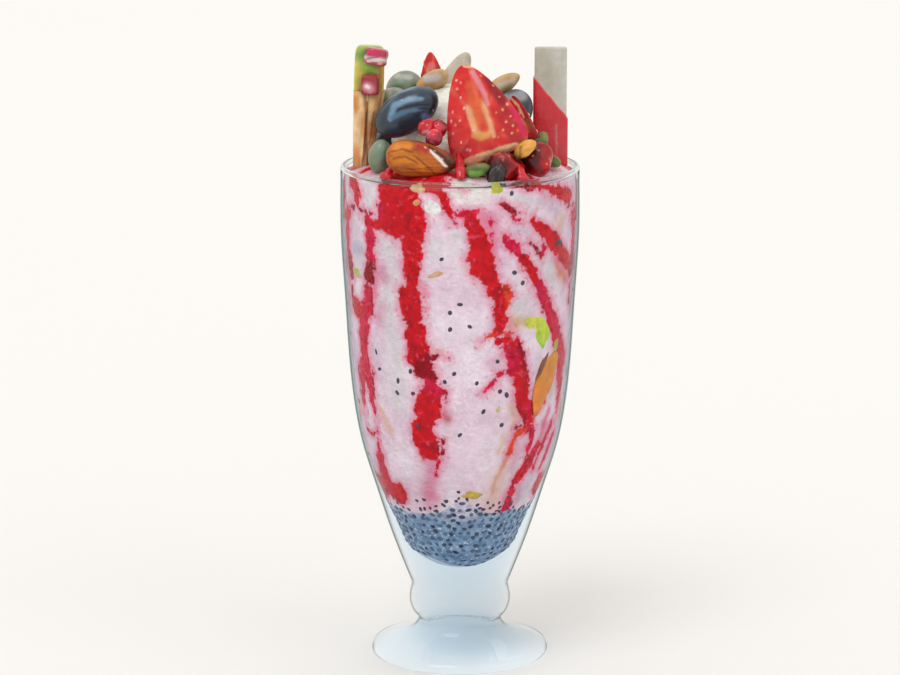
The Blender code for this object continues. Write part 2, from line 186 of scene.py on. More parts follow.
def copies(body, places, frames):
    """The body repeated: frames (n, 3, 3) turn and scale its axes, places (n, 3) set it down."""
    points, quads, triangles = body
    count = len(places)
    spread = np.einsum("nij,pj->npi", frames, points) + places[:, None]
    shift = (np.arange(count) * len(points))[:, None, None]
    return (
        spread.reshape(-1, 3),
        (quads[None] + shift).reshape(-1, 4),
        (triangles[None] + shift).reshape(-1, 3),
    )


print("tools for bodies ready")

# %% [markdown]
# ## Tools for materials
#
# A material is a small tree of shader nodes. Most of the food shares one recipe: the colour that its
# formula painted on the points, mottled by noise, with a fine bump and a roughness that varies a
# little. The colours come from attributes and the noise from Object coordinates, so nothing slides
# over the surface.

# %% Nodes
def plug(tree, made, inputs):
    """Sets each input of a node to a value, or links it from an output."""
    for key, value in inputs.items():
        if isinstance(value, bpy.types.NodeSocket):
            tree.links.new(value, made.inputs[key])
        else:
            made.inputs[key].default_value = value


def node(tree, kind, inputs=None, **settings):
    """A shader node with its settings and inputs."""
    made = tree.nodes.new("ShaderNode" + kind)
    for key, value in settings.items():
        setattr(made, key, value)
    plug(tree, made, inputs or {})
    return made


def blank(name):
    """A new material's tree, its Principled shader and the Object coordinates."""
    material = bpy.data.materials.new(name)
    material.use_nodes = True
    tree = material.node_tree
    return material, tree, tree.nodes["Principled BSDF"], node(tree, "TexCoord").outputs["Object"]


def ranged(tree, value, low, high, to_low=0.0, to_high=1.0):
    """An output spread so that low becomes to_low and high becomes to_high, and kept between them."""
    return node(tree, "MapRange", {"Value": value, 1: low, 2: high, 3: to_low, 4: to_high}).outputs["Result"]


def grain(tree, at, size, detail=3.0, low=0.0, high=1.0):
    """Noise with lumps of this size in millimetres, spread from low to high."""
    noise = node(tree, "TexNoise", {"Vector": at, "Scale": 1000 / size, "Detail": detail})
    return ranged(tree, noise.outputs["Fac"], 0.3, 0.7, low, high)


def from_points(tree, name, output="Color"):
    """The attribute of this name, as a colour or, with output Fac, as a number."""
    return node(tree, "Attribute", attribute_name=name).outputs[output]


def calculated(tree, first, second, operation):
    """Two numbers or outputs, added, multiplied and so on."""
    return node(tree, "Math", {0: first, 1: second}, operation=operation).outputs["Value"]


def relieved(tree, shader, height, depth):
    """Gives the shader a bump of this depth in millimetres."""
    relief = node(tree, "Bump", {"Height": height, "Distance": depth * MM})
    plug(tree, shader, {"Normal": relief.outputs["Normal"]})


def scaled(tree, value, factor):
    """A colour times a factor."""
    return node(tree, "VectorMath", {0: value, "Scale": factor}, operation="SCALE").outputs["Vector"]


def blended(tree, first, second, factor):
    """Two colours, values or outputs, mixed by an output."""
    pair = [value if isinstance(value, bpy.types.NodeSocket) else (*value, 1) for value in (first, second)]
    mixer = node(tree, "MixRGB", {"Fac": factor, "Color1": pair[0], "Color2": pair[1]})
    return mixer.outputs["Color"]


def summed(tree, *values):
    """Outputs added together."""
    total = values[0]
    for value in values[1:]:
        total = calculated(tree, total, value, "ADD")
    return total


print("tools for nodes ready")


# %% The common food finish
def food(name, rough, mottle, bump_size, bump_depth, coat=0.0, through=0.0, mottle_size=2.5):
    """Painted colour, mottled; noise bump of a size and depth in millimetres; a coat for wet food."""
    material, tree, shader, at = blank(name)
    factor = grain(tree, at, mottle_size, 4.0, 1 - mottle, 1 + mottle)
    plug(tree, shader, {"Base Color": scaled(tree, from_points(tree, "paint"), factor)})
    plug(tree, shader, {"Roughness": grain(tree, at, 1.7, 2.0, rough * 0.8, rough * 1.25)})
    plug(tree, shader, {"Specular IOR Level": 0.3, "Coat Weight": coat, "Coat Roughness": 0.06})
    relieved(tree, shader, grain(tree, at, bump_size, 4.0), bump_depth)
    if through:
        plug(tree, shader, {"Subsurface Weight": through, "Subsurface Scale": 1.5 * MM})
        plug(tree, shader, {"Subsurface Radius": (1.0, 0.4, 0.25)})
    return material


print("food finish ready")

# %% [markdown]
# ## The glass
#
# The sundae glass is clear soda glass: a tall bowl whose wall grows thick towards the bottom, a
# knop and a round foot. It is a turned shape, so one half-section, carried round the axis, makes
# nearly all of it. The CAD solid has few sides; here it gets enough that its edge is round. The
# rounded lip is a ring of its own on top of the wall. The foot stands on its edge and is hollow by
# about a millimetre, because two faces in the same plane, foot and table, would show as a dark disc.

# %% Section of the glass
RIM_HEIGHT, WAIST_HEIGHT, NECK_HEIGHT, NECK_RADIUS = 180.0, 26.3, 13.5, 15.0
BOWL = (
    (WAIST_HEIGHT, 17.4), (44.5, 24.4), (62.6, 30.3), (80.6, 35.7),
    (98.5, 38.7), (134, 41.3), (157, 42.6), (RIM_HEIGHT, 42.5),
)  # fmt: skip
KNOP = ((NECK_HEIGHT, NECK_RADIUS), (16.5, 17.3), (20.2, 18.3), (WAIST_HEIGHT, 17.4))
FOOT_RADIUS, FOOT_EDGE, FOOT_ROUND, FOOT_HOLLOW, LIP_RADIUS = 32.0, 3.8, 2.0, 1.2, 1.0
THIN_WALL, THICK_WALL, WALL_THICKENS_BELOW = 2.0, 4.4, 68.0
CAVITY_FLOOR, CAVITY_ROUND = 32.5, 11.5
BEAD_HEIGHT = RIM_HEIGHT - LIP_RADIUS
WALL_TOP = BEAD_HEIGHT - 0.9 * LIP_RADIUS
GLASS_COLUMNS, BEAD_ROWS = 144, 20


def through(points, at):
    """A smooth curve through (place, value) points, its slope at each the mean of the two beside it."""
    place, value = np.array(points, float).T
    chord = np.diff(value) / np.diff(place)
    slope = np.concatenate([chord[:1], (chord[1:] + chord[:-1]) / 2, chord[-1:]])
    k = np.clip(np.searchsorted(place, at, side="right") - 1, 0, len(place) - 2)
    step = place[k + 1] - place[k]
    t = (at - place[k]) / step
    start = (1 + 2 * t) * (1 - t) ** 2 * value[k] + t * (1 - t) ** 2 * step * slope[k]
    return start + t * t * (3 - 2 * t) * value[k + 1] + t * t * (t - 1) * step * slope[k + 1]


def inner_radius(height):
    """The bowl's curve less its wall, closed at the bottom by an elliptical floor."""
    thick = ease((WALL_THICKENS_BELOW - height) / (WALL_THICKENS_BELOW - CAVITY_FLOOR - CAVITY_ROUND))
    side = through(BOWL, height) - THIN_WALL - (THICK_WALL - THIN_WALL) * thick
    depth = np.clip((CAVITY_FLOOR + CAVITY_ROUND - height) / CAVITY_ROUND, 0, 1)
    return side * np.sqrt(1 - depth * depth)


def glass_section():
    """(radius, height) from the foot's underside up to the lip's bead and down to the cavity's floor."""
    foot_heights = np.linspace(FOOT_EDGE, NECK_HEIGHT, 22)[:-1]
    flare = ((NECK_HEIGHT - foot_heights) / (NECK_HEIGHT - FOOT_EDGE)) ** 2.4
    turn = np.linspace(0, math.pi / 2, 7)
    edge = [(FOOT_RADIUS - FOOT_ROUND * (1 - math.sin(a)), FOOT_ROUND * (1 - math.cos(a))) for a in turn]
    foot = list(zip(NECK_RADIUS + (FOOT_RADIUS - 0.8 - NECK_RADIUS) * flare, foot_heights))
    knop = [(through(KNOP, h), h) for h in np.linspace(NECK_HEIGHT, WAIST_HEIGHT, 22)]
    bowl = [(through(BOWL, h) - 0.02, h) for h in np.linspace(WAIST_HEIGHT, WALL_TOP, 70)[1:]]
    floor_top = CAVITY_FLOOR + CAVITY_ROUND
    inside = [(inner_radius(h), h) for h in np.linspace(WALL_TOP, floor_top, 60)]
    low = floor_top - CAVITY_ROUND * np.sin(np.linspace(0, math.pi / 2, 14)[1:-1])
    return np.array(edge + foot + knop + bowl + inside + [(inner_radius(h), h) for h in low])


def around(radius, height, columns):
    """Rings round the axis from the front to the right; radius and height broadcast to (rows, columns)."""
    turn = 2 * math.pi * np.arange(columns) / columns
    radius, height = np.broadcast_arrays(radius, height)
    return np.stack([radius * np.sin(turn), -radius * np.cos(turn), height + 0 * turn], axis=-1)


section = glass_section()
print("glass section has", len(section), "points")


# %% Body and lip of the glass
def lip_bead():
    """A torus: the circle (R + r cos a, h + r sin a) carried round the axis."""
    a = np.linspace(0, 2 * math.pi, BEAD_ROWS, endpoint=False)[:, None]
    middle = through(BOWL, RIM_HEIGHT) - LIP_RADIUS
    rings = around(middle + LIP_RADIUS * np.cos(a), BEAD_HEIGHT + LIP_RADIUS * np.sin(a), GLASS_COLUMNS)
    here = np.arange(BEAD_ROWS * GLASS_COLUMNS).reshape(BEAD_ROWS, GLASS_COLUMNS)
    beside, above = np.roll(here, -1, axis=1), np.roll(here, -1, axis=0)
    quads = np.stack([here, beside, np.roll(beside, -1, axis=0), above], axis=-1).reshape(-1, 4)
    return rings.reshape(-1, 3), quads, np.zeros((0, 3), int)


glass_rings = around(section[:, :1], section[:, 1:], GLASS_COLUMNS)
glass_body = closed_body(glass_rings, np.array([[0, 0, FOOT_HOLLOW], [0, 0, CAVITY_FLOOR]], float))
print("glass body has", len(glass_body[0]), "points")

# %% [markdown]
# ## Clear glass
#
# Glass is the Principled shader with full transmission. The glass is full, so it hardly bends what is
# behind its wall, and it gets a low index of refraction. What draws its outline is a grey-green
# tint where it is seen edge on, and absorption gives the pale blue of thick glass. The knop and the
# foot, with nothing behind them, get a clear coat for their shine: its weight is the attribute coat,
# high on their points and low on the wall's. The lip's ring bends light in full. Lamps shine
# through both by a Transparent shader that only shadow rays see.

# %% Glass materials
GLASS_ABSORBS = (0.22, 0.56, 0.80, 1.0)
GLASS_EDGE, GLASS_BENDS, GLASS_DENSITY, LIP_BENDS = (0.035, 0.07, 0.06), 1.02, 14.0, 1.45
COATED_ABOVE, COATED_BELOW = RIM_HEIGHT - 1.4, CAVITY_FLOOR - 4
WALL_COAT, FOOT_COAT = 0.06, 0.6


def see_through(tree, shader):
    """Makes shadow rays pass the shader; returns the material's output."""
    shadow = node(tree, "LightPath").outputs["Is Shadow Ray"]
    clear = node(tree, "BsdfTransparent", {"Color": (0.97, 0.98, 0.98, 1)})
    either = node(tree, "MixShader", {0: shadow, 1: shader.outputs["BSDF"], 2: clear.outputs["BSDF"]})
    output = tree.nodes["Material Output"]
    plug(tree, output, {"Surface": either.outputs["Shader"]})
    return output


def bead_glass():
    """Solid clear glass that bends light fully, so that the lip shows as a bright line with a dark one."""
    material, tree, shader, at = blank("lip_glass")
    tint = blended(tree, (0.86, 0.92, 0.91), (0.78, 0.86, 0.85), grain(tree, at, 8.0))
    plug(tree, shader, {"Base Color": tint, "Roughness": 0.02, "Transmission Weight": 1.0, "IOR": LIP_BENDS})
    see_through(tree, shader)
    return material


def clear_glass(name):
    """Transmission with absorption, darker where an upright face is seen edge on, under a coat."""
    material, tree, shader, _ = blank(name)
    facing = node(tree, "LayerWeight", {"Blend": 0.5}).outputs["Facing"]
    edge_on = node(tree, "MapRange", {"Value": facing, 1: 0.64, 2: 0.88}, interpolation_type="SMOOTHSTEP")
    parts = node(tree, "SeparateXYZ", {0: node(tree, "NewGeometry").outputs["Normal"]})
    level = node(tree, "Math", {0: parts.outputs["Z"]}, operation="ABSOLUTE").outputs["Value"]
    rim = calculated(tree, edge_on.outputs["Result"], ranged(tree, level, 0.6, 0.9, 1.0, 0.0), "MULTIPLY")
    tint = blended(tree, (1, 1, 1), GLASS_EDGE, rim)
    plug(tree, shader, {"Base Color": tint, "Roughness": 0.0, "Transmission Weight": 1.0, "IOR": GLASS_BENDS})
    plug(tree, shader, {"Coat Weight": from_points(tree, "coat", "Fac"), "Coat Roughness": 0.0})
    output = see_through(tree, shader)
    absorbs = node(tree, "VolumeAbsorption", {"Color": GLASS_ABSORBS, "Density": GLASS_DENSITY})
    plug(tree, output, {"Volume": absorbs.outputs["Volume"]})
    return material


levels = glass_body[0][:, 2]
bare = ease((levels - COATED_BELOW) / 3) * ease(COATED_ABOVE - levels)
glass_values = {"coat": FOOT_COAT + (WALL_COAT - FOOT_COAT) * bare}
glass = piece("sundae_glass", glass_body, clear_glass("clear_glass"), glass_values, replaces="glass")
piece("glass_lip", lip_bead(), bead_glass(), {})
print("glass faces:", len(glass.data.polygons))

# %% [markdown]
# ## Where the seeds end
#
# Against the glass the seeds end in an uneven line, with a heap just right of the front. Both the
# seeds and the milk ice above them reach just into the wall, so no gap of air shows, and they share
# this line.

# %% The seed line
WALL_COLUMNS, INTO_WALL = 380, 0.15
wall_turn = 2 * math.pi * np.arange(WALL_COLUMNS) / WALL_COLUMNS


def seed_line(turn):
    """Height of the seeds at this turn from the front: level, with a heap, ragged by a seed's width."""
    degrees = (np.degrees(turn) + 180) % 360 - 180
    ring = np.stack([30 * np.sin(turn), 30 * np.cos(turn), 0 * turn], axis=-1)
    heap = 5.6 * bump(degrees, 3.0, 14.0) + 1.5 * bump(degrees, 150.0, 30.0)
    return 57.4 + heap + 1.2 * lumps(ring, 9.0, 3) + 0.6 * lumps(ring, 2.2, 4)


print("seed line from", seed_line(wall_turn).min().round(1), "to", seed_line(wall_turn).max().round(1))

# %% [markdown]
# ## Syrup on the wall
#
# Before the milk ice goes in, syrup is poured down the inside of the glass. Each run is a path of
# points: a turn from the front, a height and a width there. The distance from every point of
# the wall to the path, taken from half its width, is the depth inside the run. The deepest run
# wins and is kept as the attribute syrup. The shader adds fine noise and paints where it is
# above zero, so that the edge stays crisp however coarse the mesh is. A run also has a tone, and
# where runs meet their tones blend.

# %% Runs of syrup
SYRUP_TONES = {"red": colour(198, 16, 28), "crimson": colour(202, 20, 60), "dark": colour(140, 10, 26),
               "hot": colour(216, 64, 32)}  # fmt: skip
RUNS = (
    # tone, then (turn, height, width) along the run
    # the broad patch at the upper left and what leaves it
    ("red", ((-32, 180, 15.5), (-32, 172, 15.5), (-34, 166, 12.5), (-38, 163, 6))),
    ("red", ((-24, 171, 7), (-22, 165, 7), (-21, 161, 5))),
    ("dark", ((-30, 174, 3), (-27, 168, 5), (-25, 162, 4))),
    ("crimson", ((-43, 170, 3), (-41, 167, 5), (-36, 166, 4))),
    ("red", ((-20, 180, 5), (-13, 178.5, 5), (-8, 174, 3.4), (-4.5, 169, 2.6), (-3.5, 166, 1.2))),
    ("red", ((-14, 180, 3), (-2, 179.6, 2.4), (2, 178.4, 2.0))),
    ("red", ((-53, 164, 4), (-45, 163.5, 4.4), (-36, 163.5, 5))),
    # the left run
    ("crimson", ((-51, 164, 4.5), (-50, 158, 5.0), (-50.5, 151, 4.4))),
    ("dark", ((-50.5, 151, 3.6), (-52, 146, 6.2), (-52.5, 143.5, 5.6))),
    ("crimson", ((-54, 139, 5.4), (-55, 133, 6.5), (-60, 128, 7),
                 (-62, 122, 6.5), (-62, 116, 6.5), (-60, 110, 6.8))),
    ("crimson", ((-60, 110, 6.5), (-57.5, 104, 5), (-56.5, 98, 3.4), (-56, 93, 1.4))),
    ("dark", ((-52, 138, 2.2), (-51, 131, 1.6))),
    ("dark", ((-54, 110, 1.4), (-54, 103, 1.8), (-55, 97, 1.2))),
    # the left edge
    ("red", ((-68, 176, 5.5), (-62, 173, 6), (-62, 169, 2))),
    ("dark", ((-60, 167.4, 1.5), (-52, 167, 1.0), (-46, 167, 1.2))),
    ("red", ((-70, 132, 7), (-62, 130, 6))),
    ("crimson", ((-70, 86, 2.0), (-62, 85.5, 1.2), (-56, 87, 0.8))),
    # the centre run, down to where it breaks off
    ("red", ((-25, 162, 7), (-24.5, 156, 7.6), (-24.5, 150, 6.2), (-25, 145, 5.4))),
    ("red", ((-25.5, 142, 6.4), (-26, 139, 9.4), (-25.5, 135, 9.4), (-24.5, 132, 7.2))),
    ("dark", ((-27, 132, 2.4), (-25.5, 128.5, 5.4))),
    ("red", ((-23.5, 127, 8.4), (-22.5, 122, 8), (-23, 118, 8))),
    ("dark", ((-21, 117, 7.4), (-19, 113, 7.2), (-15, 110, 4.2))),
    ("crimson", ((-17, 108.6, 5), (-14.5, 105, 8))),
    ("dark", ((-11, 109, 0.9), (-8.5, 106, 1.0), (-7.6, 103, 1.2), (-8.4, 99, 1.2))),
    ("red", ((-17, 103, 8.5), (-18, 98, 10.2), (-19.5, 93.5, 7.4),
             (-22, 90, 8.6), (-20, 87, 9.6), (-18, 83.6, 9.6))),
    ("dark", ((-10.5, 87, 1.2), (-9.4, 82.5, 1.6))),
    ("dark", ((-16, 116.6, 1.6), (-10, 118.4, 1.0), (-5, 117.4, 0.7))),
    ("crimson", ((-11.5, 80, 1.2), (-15, 75, 0.9), (-16.5, 72, 0.5))),
    # the run that slants to the right from under the fruit
    ("crimson", ((-1, 169, 2.6), (7, 168.6, 3.4))),
    ("red", ((5, 167, 5.6), (9, 161, 7.0), (10, 155, 8.4), (11, 150.5, 9.2), (14, 147, 7.4), (17, 143, 5.2))),
    ("red", ((17, 143, 5.2), (20, 139, 5.2), (20.8, 135, 5.2), (21.5, 130, 4.6), (20.5, 127, 4.2))),
    ("hot", ((23, 142, 3.8), (25.5, 139.5, 3.6), (24, 137, 2.5))),
    ("crimson", ((15, 167, 1.6), (15.6, 161, 1.3), (15.2, 155, 1.1))),
    # the arc below it
    ("hot", ((12, 123.6, 0.9), (17, 125.4, 1.2), (22, 126.4, 1.6), (28, 125.6, 1.6))),
    ("red", ((20, 123.5, 1.6), (25, 123.4, 4.0), (29, 121.5, 5.0))),
    ("crimson", ((24, 121, 3.0), (28.5, 118.5, 7.0), (31, 114, 7.4))),
    ("dark", ((32.5, 120.5, 3.0), (36, 114, 3.4), (37, 107, 3.0), (37, 99, 2.6))),
    ("red", ((32.5, 114, 6.4), (35, 107.5, 6.2), (36.5, 102, 6.4), (38.5, 97.5, 6.2))),
    ("crimson", ((37, 98.5, 5.0), (43, 97.6, 5.4), (49, 98.0, 4.6), (52, 98.6, 3.0))),
    ("red", ((39.5, 96, 5.4), (43, 93.5, 4.6), (41, 91, 3.2))),
    ("dark", ((38, 97, 3), (39.5, 91.5, 2.6))),
    ("crimson", ((41, 92, 3), (45.5, 88, 3.2), (46, 83, 2.4), (43.5, 79, 1.8))),
    ("hot", ((42, 89.8, 2.4), (37, 89.4, 3.2), (33, 86, 3.0), (30.5, 81.5, 2.4))),
    ("dark", ((33, 90.6, 1.0), (37, 91, 1.2), (41, 91.2, 1.4))),
    ("crimson", ((13.5, 105.6, 0.5), (17, 108, 1.6), (20.5, 110.6, 2.0), (23, 111.6, 0.8))),
    # the runs on the right
    ("crimson", ((22, 160.6, 1.8), (25.5, 158, 3.5), (29.5, 154.8, 3.2))),
    ("red", ((32.5, 152.6, 3.8), (38, 147.5, 4.2), (42, 143, 4.2))),
    ("crimson", ((42, 143, 4.4), (47, 138, 5.2), (52, 132, 5.6), (58, 126, 6.4), (64, 119, 7), (72, 112, 7))),
    ("dark", ((21, 171.4, 1.4), (26, 169.2, 2.6), (32, 168.6, 1.4))),
    ("crimson", ((28, 166.4, 1.6), (33, 165.8, 0.9))),
    ("red", ((38, 165.4, 2.4), (46, 161, 5), (54, 156.5, 5.4), (62, 151, 6), (70, 147, 6))),
    ("dark", ((37, 157, 1.1), (41, 155.4, 1.7), (44, 153.2, 1.2))),
    ("crimson", ((44.5, 158, 1.0), (46.5, 154.5, 1.6), (44, 151.5, 0.8))),
    ("dark", ((24, 180, 1.6), (32, 178.2, 2.4), (40, 177, 2.2))),
    ("red", ((40, 177.6, 2.6), (50, 175.4, 3.6), (60, 173, 5), (70, 171, 6))),
    ("crimson", ((54, 82, 4.0), (50, 78.5, 6.4), (47, 75, 6.6))),
    ("red", ((47, 75, 6.4), (42, 71.6, 5.4), (38.5, 69.6, 4.2))),
    ("crimson", ((39, 69.6, 4.0), (38, 65, 4.2), (38, 60, 5.0), (37, 56, 5.4))),
    ("crimson", ((44.5, 84, 1.4), (44, 80, 1.6))),
    ("crimson", ((66, 89, 3.0), (60, 84, 3.4), (57, 79, 2.4), (55, 74, 1.4))),
    ("crimson", ((72, 84, 4), (68, 78, 4), (64, 72, 2.4))),
    # the pool at the lower left
    ("crimson", ((-57, 84, 1.4), (-57, 79, 4), (-60, 75, 7), (-61, 70, 9), (-58, 65.5, 9))),
    ("red", ((-58, 65.5, 8), (-51, 64, 8.4), (-46, 64.8, 7.6))),
    ("dark", ((-44, 66, 3.2), (-45, 62.5, 2.6))),
)  # fmt: skip
print("runs:", len(RUNS))

# %% Depth in the runs
BACK_COPIES, COPIED_TURNS = ((128, 1), (-125, -1)), 61
WALL_RADIUS, FAR_AWAY = 38.0, 99.0
MM_PER_DEGREE = math.radians(1) * WALL_RADIUS


def wall_ring(degrees, height):
    """Points (R sin d, -R cos d, h) of a plain tube, on which the noise of the wall is worked out."""
    turn = np.radians(degrees)
    return np.stack([WALL_RADIUS * np.sin(turn), -WALL_RADIUS * np.cos(turn), height], axis=-1)


def with_copies(paths):
    """Each (key, path) and, for the back, its copies: turned round, and one of them mirrored."""
    copied = [
        (key, tuple((to + way * turn, *rest) for turn, *rest in path))
        for key, path in paths
        for to, way in BACK_COPIES
        if max(abs(point[0]) for point in path) < COPIED_TURNS
    ]
    return list(paths) + copied


def distance_to(here, ends, half):
    """In a plane: distance to the line through the ends, and its half width at the nearest point."""
    distance, width = np.full(len(here), FAR_AWAY), np.ones(len(here))
    for a, b, wide, wide_end in zip(ends, ends[1:], half, half[1:]):
        along = np.clip((here - a) @ (b - a) / ((b - a) @ (b - a)), 0, 1)
        away = np.linalg.norm(here - a - along[:, None] * (b - a), axis=-1)
        here_wide = wide + (wide_end - wide) * along
        nearer = away - here_wide < distance - width
        distance, width = np.where(nearer, away, distance), np.where(nearer, here_wide, width)
    return distance, width


def path_distance(degrees, height, path):
    """On the unrolled wall, in millimetres: distance to the path, and its half width there."""
    table = np.array(path, float)
    turn = (degrees - table[0, 0] + 180) % 360 - 180 + table[0, 0]
    here = np.stack([turn * MM_PER_DEGREE, height], axis=-1)
    return distance_to(here, table[:, :2] * (MM_PER_DEGREE, 1), table[:, 2] / 2)


def near_path(degrees, height, path, reach=9.0):
    """Which points lie within reach of the path's box."""
    table = np.array(path, float)
    middle = (table[:, 0].min() + table[:, 0].max()) / 2
    span = np.ptp(table[:, 0]) / 2 + reach / MM_PER_DEGREE
    beside = np.abs((degrees - middle + 180) % 360 - 180) < span
    return beside & (height > table[:, 1].min() - reach) & (height < table[:, 1].max() + reach)


OUT_OF_RUN, DEEPEST_SHARE = -8.0, 2.5


def syrup_on_wall(degrees, height):
    """The depth in the deepest run, and the runs' tones blended by e^(2 depth)."""
    ring = wall_ring(degrees, height)
    degrees = degrees + 0.7 * lumps(ring, 4.0, 11) + 0.5 * lumps(ring, 1.9, 12)
    height = height + 0.7 * lumps(ring, 3.0, 13)
    depth, weight = np.full(len(degrees), OUT_OF_RUN), np.full(len(degrees), 1e-4)
    tone = weight[:, None] * SYRUP_TONES["red"]
    for key, path in with_copies(RUNS):
        near = near_path(degrees, height, path)
        distance, half = path_distance(degrees[near], height[near], path)
        here = half - distance
        depth[near] = np.maximum(depth[near], here)
        share = np.exp(2 * np.minimum(here, DEEPEST_SHARE))
        weight[near] += share
        tone[near] += share[:, None] * SYRUP_TONES[key]
    return depth + 0.35 * lumps(ring, 3.0, 14) + 0.3 * lumps(ring, 1.4, 15), tone / weight[:, None]


print("runs with their copies at the back:", len(with_copies(RUNS)))

# %% [markdown]
# ## The milk ice
#
# The milk ice fills the glass from the seeds to a low mound under the heap. Its side follows the
# inside of the wall, and its top is a function of the place: a mound that dips at the back and
# is lumpy like scooped ice.

# %% Shape of the milk ice
FILL_LEVEL, MOUND, BACK_DIP = 177.4, 5.1, 8.5


def fill_surface(ring):
    """The mound: level plus a flat dome, less a dip behind, plus noise at two sizes."""
    out = np.hypot(ring[..., 0], ring[..., 1])
    behind = np.degrees(np.arctan2(ring[..., 0], ring[..., 1]))
    dip = BACK_DIP * np.exp(-((behind / 42) ** 4)) * ease((out - 18) / 12)
    mound = MOUND * (1 - np.clip(out / 40, 0, 1) ** 6)
    flat = ring * (1, 1, 0)
    return FILL_LEVEL + mound - dip + 0.7 * lumps(flat, 8.0, 21) + 0.5 * lumps(flat, 2.6, 22)


def milk_rings():
    """Rings up the wall from the seed line, then inwards over the mound."""
    low = seed_line(wall_turn)
    under = around(inner_radius(low - 1.5) * 0.93, low - 1.5, WALL_COLUMNS)
    edge = around(inner_radius(FILL_LEVEL - 1), 0.0, WALL_COLUMNS)
    top = fill_surface(edge)
    share = np.linspace(0, 1, 180)[:, None]
    height = low + (top - low) * share
    side = around(inner_radius(height) + INTO_WALL, height, WALL_COLUMNS)
    over = around(inner_radius(top) * np.linspace(0.99, 0.02, 40)[:, None], 0.0, WALL_COLUMNS)
    over[..., 2] = fill_surface(over)
    return np.concatenate([under[None], side, over]), 1 + len(side)


milk, wall_rows = milk_rings()
print("milk rings:", len(milk), "of them on the wall:", wall_rows)

# %% [markdown]
# ## The milk ice's colours
#
# Three values ride on its points: syrup, the depth inside a run; syrup_tone, the colour of the run;
# and milk_tone, the colour of the milk ice itself. The milk is pale lilac pink, stained by the syrup
# near it, with creamy and peach patches. Stains are paths too, but soft: each is a bell curve of
# the distance. The pattern at the edge carries on over the mound.

